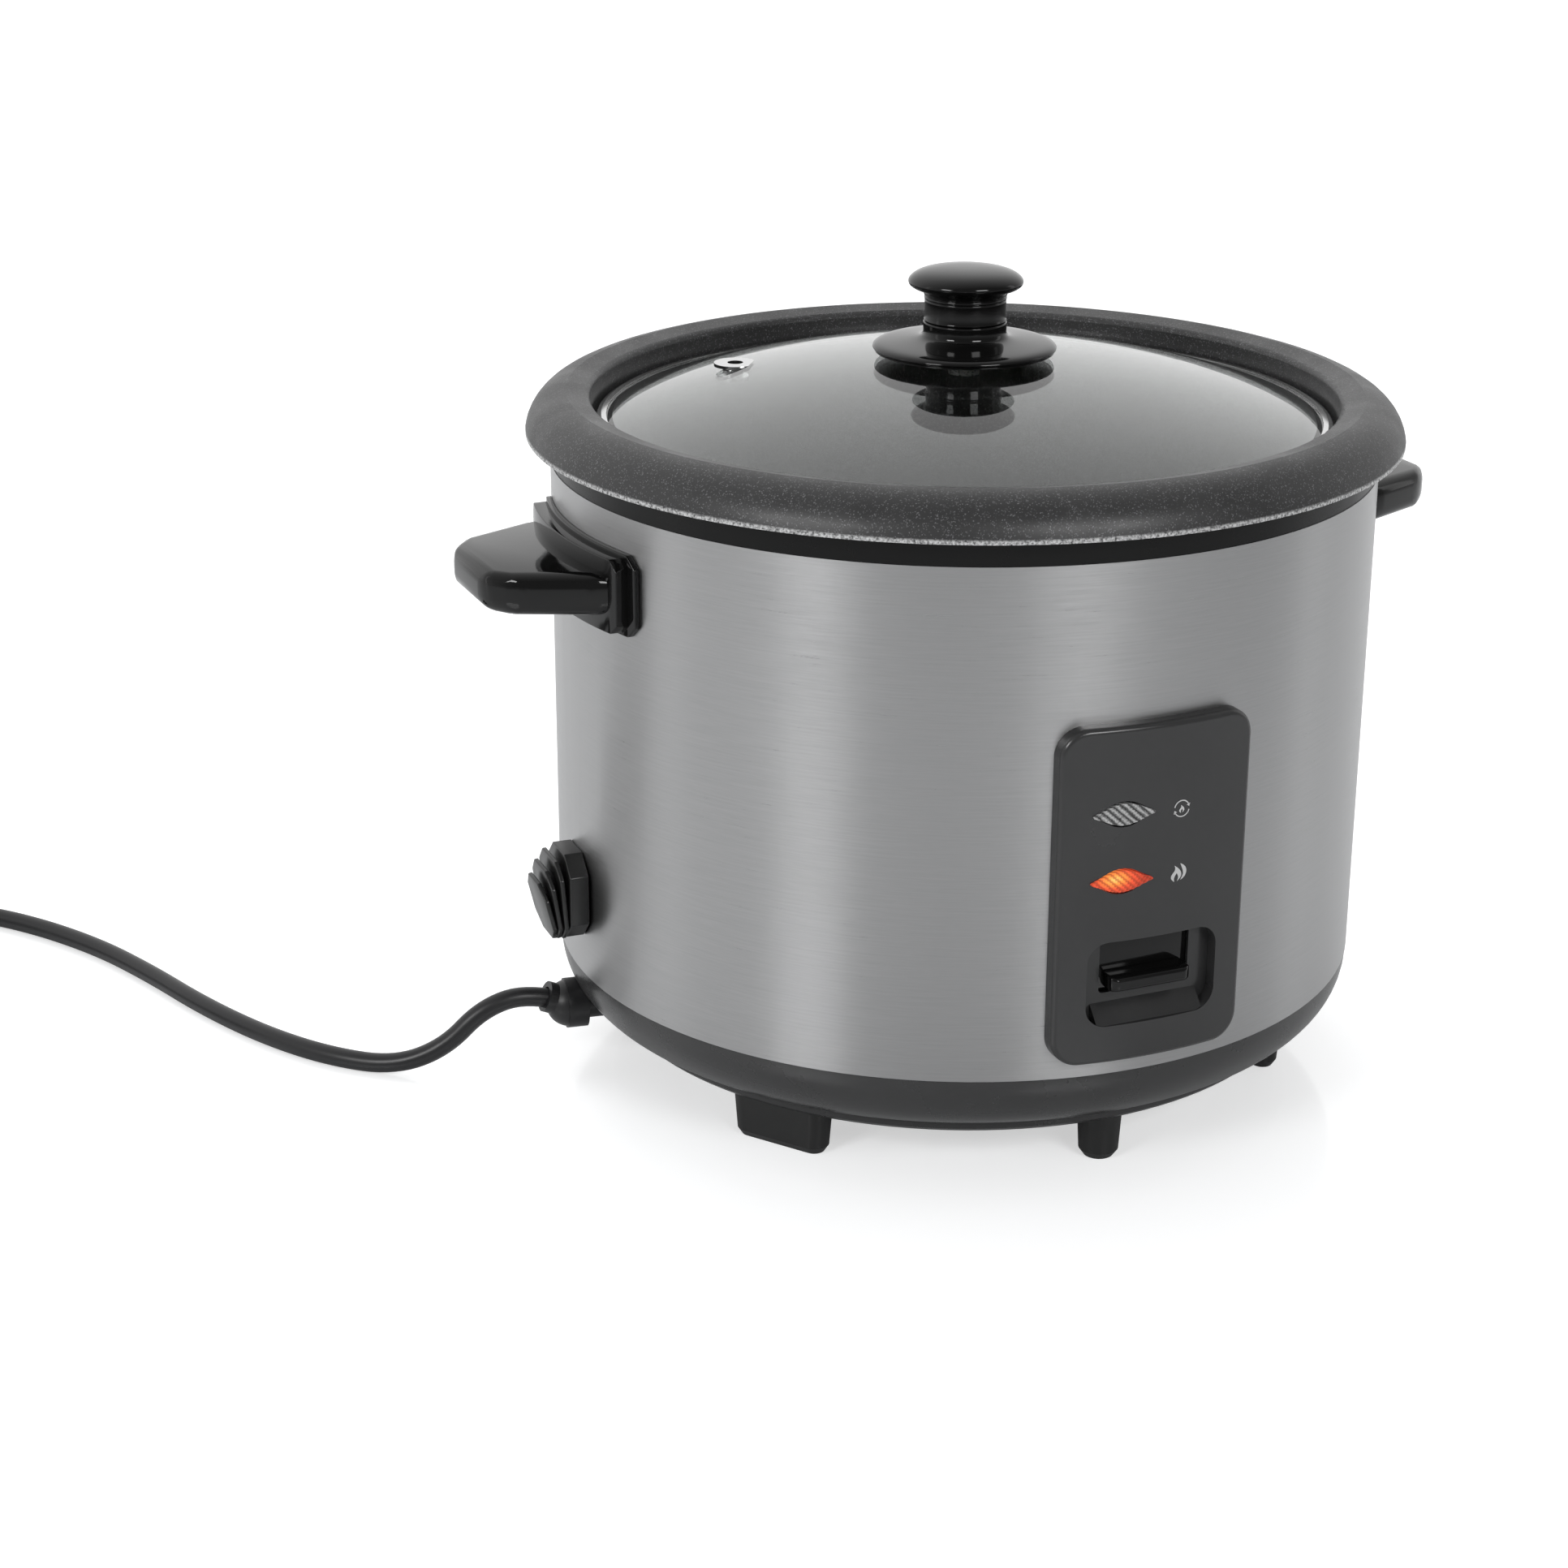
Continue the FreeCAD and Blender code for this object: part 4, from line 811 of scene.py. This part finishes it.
# ---- Inner pot ----
# Spun aluminium, coated inside and out with dark grey non-stick that sparkles with metal flake. The wide
# rolled flange ends in an edge with a painted highlight: a thin, broken line of bright metal colour along its
# lower lip.
pot_coat = bpy.data.materials.new("pot_coat")
pot_coat.use_nodes = True
pot_tree = pot_coat.node_tree
pot_shader = pot_tree.nodes["Principled BSDF"]
pot_link = pot_tree.links.new
pot_place = pot_tree.nodes.new("ShaderNodeTexCoord")
flake = pot_tree.nodes.new("ShaderNodeTexVoronoi")
flake.inputs["Scale"].default_value = 3600.0
flake_tone = pot_tree.nodes.new("ShaderNodeSeparateColor")
flake_amount = pot_tree.nodes.new("ShaderNodeMapRange")
flake_amount.inputs["From Min"].default_value = 0.86
flake_amount.inputs["From Max"].default_value = 1.0
coat_cloud = pot_tree.nodes.new("ShaderNodeTexNoise")
coat_cloud.inputs["Scale"].default_value = 60.0
coat_cloud.inputs["Detail"].default_value = 5.0
coat_tone = pot_tree.nodes.new("ShaderNodeMix")
coat_tone.data_type = "RGBA"
coat_tone.inputs["A"].default_value = (0.019, 0.019, 0.0195, 1)
coat_tone.inputs["B"].default_value = (0.029, 0.029, 0.0295, 1)
flake_mix = pot_tree.nodes.new("ShaderNodeMix")
flake_mix.data_type = "RGBA"
flake_mix.inputs["B"].default_value = (0.13, 0.13, 0.135, 1)
pot_split = pot_tree.nodes.new("ShaderNodeSeparateXYZ")
# Painted highlight: a thin, noise-broken band at the flange's lower lip gets bright metal colour and full
# metallic.
edge_height = pot_tree.nodes.new("ShaderNodeMapRange")
edge_height.inputs["From Min"].default_value = 0.18880
edge_height.inputs["From Max"].default_value = 0.18815
edge_radius = pot_tree.nodes.new("ShaderNodeVectorMath")
edge_radius.operation = "LENGTH"
edge_flat = pot_tree.nodes.new("ShaderNodeMapping")
edge_flat.inputs["Scale"].default_value = (1, 1, 0)
edge_outside = pot_tree.nodes.new("ShaderNodeMath")
edge_outside.operation = "GREATER_THAN"
edge_outside.inputs[1].default_value = 0.1225
edge_break = pot_tree.nodes.new("ShaderNodeTexNoise")
edge_break.inputs["Scale"].default_value = 1500.0
edge_rough = pot_tree.nodes.new("ShaderNodeMapRange")
edge_rough.inputs["From Min"].default_value = 0.30
edge_rough.inputs["From Max"].default_value = 0.62
edge_band = pot_tree.nodes.new("ShaderNodeMath")
edge_band.operation = "MULTIPLY"
painted_edge_highlight = pot_tree.nodes.new("ShaderNodeMath")
painted_edge_highlight.operation = "MULTIPLY"
edge_highlight_mix = pot_tree.nodes.new("ShaderNodeMix")
edge_highlight_mix.data_type = "RGBA"
edge_highlight_mix.inputs["B"].default_value = (0.72, 0.72, 0.72, 1)
coat_gloss = pot_tree.nodes.new("ShaderNodeMapRange")
coat_gloss.inputs["From Min"].default_value = 0.3
coat_gloss.inputs["From Max"].default_value = 0.7
coat_gloss.inputs["To Min"].default_value = 0.34
coat_gloss.inputs["To Max"].default_value = 0.46
coat_relief = pot_tree.nodes.new("ShaderNodeBump")
coat_relief.inputs["Strength"].default_value = 0.16
coat_relief.inputs["Distance"].default_value = 0.0001
pot_link(pot_place.outputs["Object"], flake.inputs["Vector"])
pot_link(pot_place.outputs["Object"], coat_cloud.inputs["Vector"])
pot_link(pot_place.outputs["Object"], edge_break.inputs["Vector"])
pot_link(pot_place.outputs["Object"], pot_split.inputs["Vector"])
pot_link(pot_place.outputs["Object"], edge_flat.inputs["Vector"])
pot_link(edge_flat.outputs["Vector"], edge_radius.inputs[0])
pot_link(edge_radius.outputs["Value"], edge_outside.inputs[0])
pot_link(pot_split.outputs["Z"], edge_height.inputs["Value"])
pot_link(flake.outputs["Color"], flake_tone.inputs["Color"])
pot_link(flake_tone.outputs["Red"], flake_amount.inputs["Value"])
pot_link(coat_cloud.outputs["Fac"], coat_tone.inputs["Factor"])
pot_link(coat_tone.outputs["Result"], flake_mix.inputs["A"])
pot_link(flake_amount.outputs["Result"], flake_mix.inputs["Factor"])
pot_link(edge_break.outputs["Fac"], edge_rough.inputs["Value"])
pot_link(edge_height.outputs["Result"], edge_band.inputs[0])
pot_link(edge_outside.outputs["Value"], edge_band.inputs[1])
pot_link(edge_band.outputs["Value"], painted_edge_highlight.inputs[0])
pot_link(edge_rough.outputs["Result"], painted_edge_highlight.inputs[1])
pot_link(painted_edge_highlight.outputs["Value"], edge_highlight_mix.inputs["Factor"])
pot_link(flake_mix.outputs["Result"], edge_highlight_mix.inputs["A"])
pot_link(edge_highlight_mix.outputs["Result"], pot_shader.inputs["Base Color"])
pot_link(painted_edge_highlight.outputs["Value"], pot_shader.inputs["Metallic"])
pot_link(coat_cloud.outputs["Fac"], coat_gloss.inputs["Value"])
pot_link(coat_gloss.outputs["Result"], pot_shader.inputs["Roughness"])
pot_link(flake_tone.outputs["Green"], coat_relief.inputs["Height"])
pot_link(coat_relief.outputs["Normal"], pot_shader.inputs["Normal"])
dress(pot_coat, "inner_pot")

# ---- Glass lid ----
# A dome of 4 mm toughened glass in a band of polished steel, with a pressed steel vent eyelet, a silicone
# washer under the knob, and a screw up through the middle.
lid_glass = bpy.data.materials.new("toughened_glass")
lid_glass.use_nodes = True
glass_tree = lid_glass.node_tree
glass_shader = glass_tree.nodes["Principled BSDF"]
glass_shader.inputs["Base Color"].default_value = (0.93, 0.96, 0.95, 1)
glass_shader.inputs["Transmission Weight"].default_value = 1.0
glass_shader.inputs["IOR"].default_value = 1.5
glass_place = glass_tree.nodes.new("ShaderNodeTexCoord")
glass_wipe = glass_tree.nodes.new("ShaderNodeTexNoise")
glass_wipe.inputs["Scale"].default_value = 22.0
glass_wipe.inputs["Detail"].default_value = 6.0
glass_haze = glass_tree.nodes.new("ShaderNodeMapRange")
glass_haze.inputs["From Min"].default_value = 0.45
glass_haze.inputs["From Max"].default_value = 0.80
glass_haze.inputs["To Min"].default_value = 0.0
glass_haze.inputs["To Max"].default_value = 0.05
glass_tree.links.new(glass_place.outputs["Object"], glass_wipe.inputs["Vector"])
glass_tree.links.new(glass_wipe.outputs["Fac"], glass_haze.inputs["Value"])
glass_tree.links.new(glass_haze.outputs["Result"], glass_shader.inputs["Roughness"])
dress(lid_glass, "lid_glass")
polished_steel = brushed("polished_steel", (0.62, 0.62, 0.62), (0.78, 0.78, 0.78), 0.08, 0.16, 3000.0, 0.04)
dress(polished_steel, "lid_band", "vent_eyelet")
gasket_silicone = moulding("gasket_silicone", (0.22, 0.22, 0.22), (0.32, 0.32, 0.32), 0.45, 0.60, 900.0, 0.20)
dress(gasket_silicone, "knob_gasket")

# ---- Lid knob ----
# Two glossy black mouldings on the one screw: a flared skirt with a thin lip at its rim, and a short
# necked knob with a domed top.


def turned_piece(name, outline):
    """Draws half the outline point by point, spins it round the upright axis and smooths it."""
    bpy.ops.object.select_all(action="DESELECT")
    bpy.ops.mesh.primitive_plane_add(size=0.001, location=(0, 0, 0))
    piece = bpy.context.object
    piece.name = name
    bpy.ops.object.mode_set(mode="EDIT")
    bpy.ops.mesh.select_mode(type="VERT")
    bpy.ops.mesh.select_all(action="SELECT")
    bpy.ops.mesh.merge(type="CENTER")
    bpy.ops.transform.translate(value=(outline[0][0] / 1000, 0, outline[0][1] / 1000))
    for before, after in zip(outline, outline[1:]):
        bpy.ops.mesh.extrude_vertices_move(TRANSFORM_OT_translate={
            "value": ((after[0] - before[0]) / 1000, 0, (after[1] - before[1]) / 1000)})
    bpy.ops.mesh.select_all(action="SELECT")
    bpy.ops.mesh.spin(steps=32, angle=2 * math.pi, center=(0, 0, 0), axis=(0, 0, 1))
    bpy.ops.mesh.select_all(action="SELECT")
    bpy.ops.mesh.remove_doubles(threshold=0.000005)
    bpy.ops.mesh.normals_make_consistent(inside=False)
    bpy.ops.object.mode_set(mode="OBJECT")
    smoothing = piece.modifiers.new("smoothing", "SUBSURF")
    smoothing.levels = 2
    smoothing.render_levels = 2
    apply_modifiers(piece)
    return piece


knob_skirt = turned_piece("knob_skirt_moulded", [
    (0.0, 217.55), (11.0, 217.55), (11.75, 217.5), (11.95, 217.2), (11.9, 216.6), (11.9, 214.4),
    (12.3, 213.3), (13.8, 212.7), (18.0, 212.2), (22.6, 211.7), (25.0, 211.3), (26.2, 210.6), (26.35, 209.9),
    (25.9, 209.55), (25.45, 209.5), (25.45, 209.35), (25.75, 209.3), (25.75, 208.95), (25.3, 208.8),
    (12.0, 208.8), (0.0, 208.8)])
settle(knob_skirt, "lid", gloss_black)
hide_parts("knob_skirt")
knob = turned_piece("knob_moulded", [
    (0.0, 232.9), (5.5, 232.8), (10.6, 232.3), (14.4, 231.2), (16.4, 229.5), (16.5, 228.2), (15.2, 227.1),
    (13.3, 226.5), (12.2, 226.0), (11.9, 225.3), (11.85, 225.0), (11.55, 224.9), (11.55, 224.7),
    (11.8, 224.6), (11.8, 223.9), (11.55, 223.8), (11.55, 223.6), (11.7, 223.5), (11.6, 222.8),
    (11.6, 218.5), (11.8, 218.1), (11.8, 217.8), (11.5, 217.62), (6.0, 217.6), (0.0, 217.6)])
settle(knob, "lid", gloss_black)
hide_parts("knob")
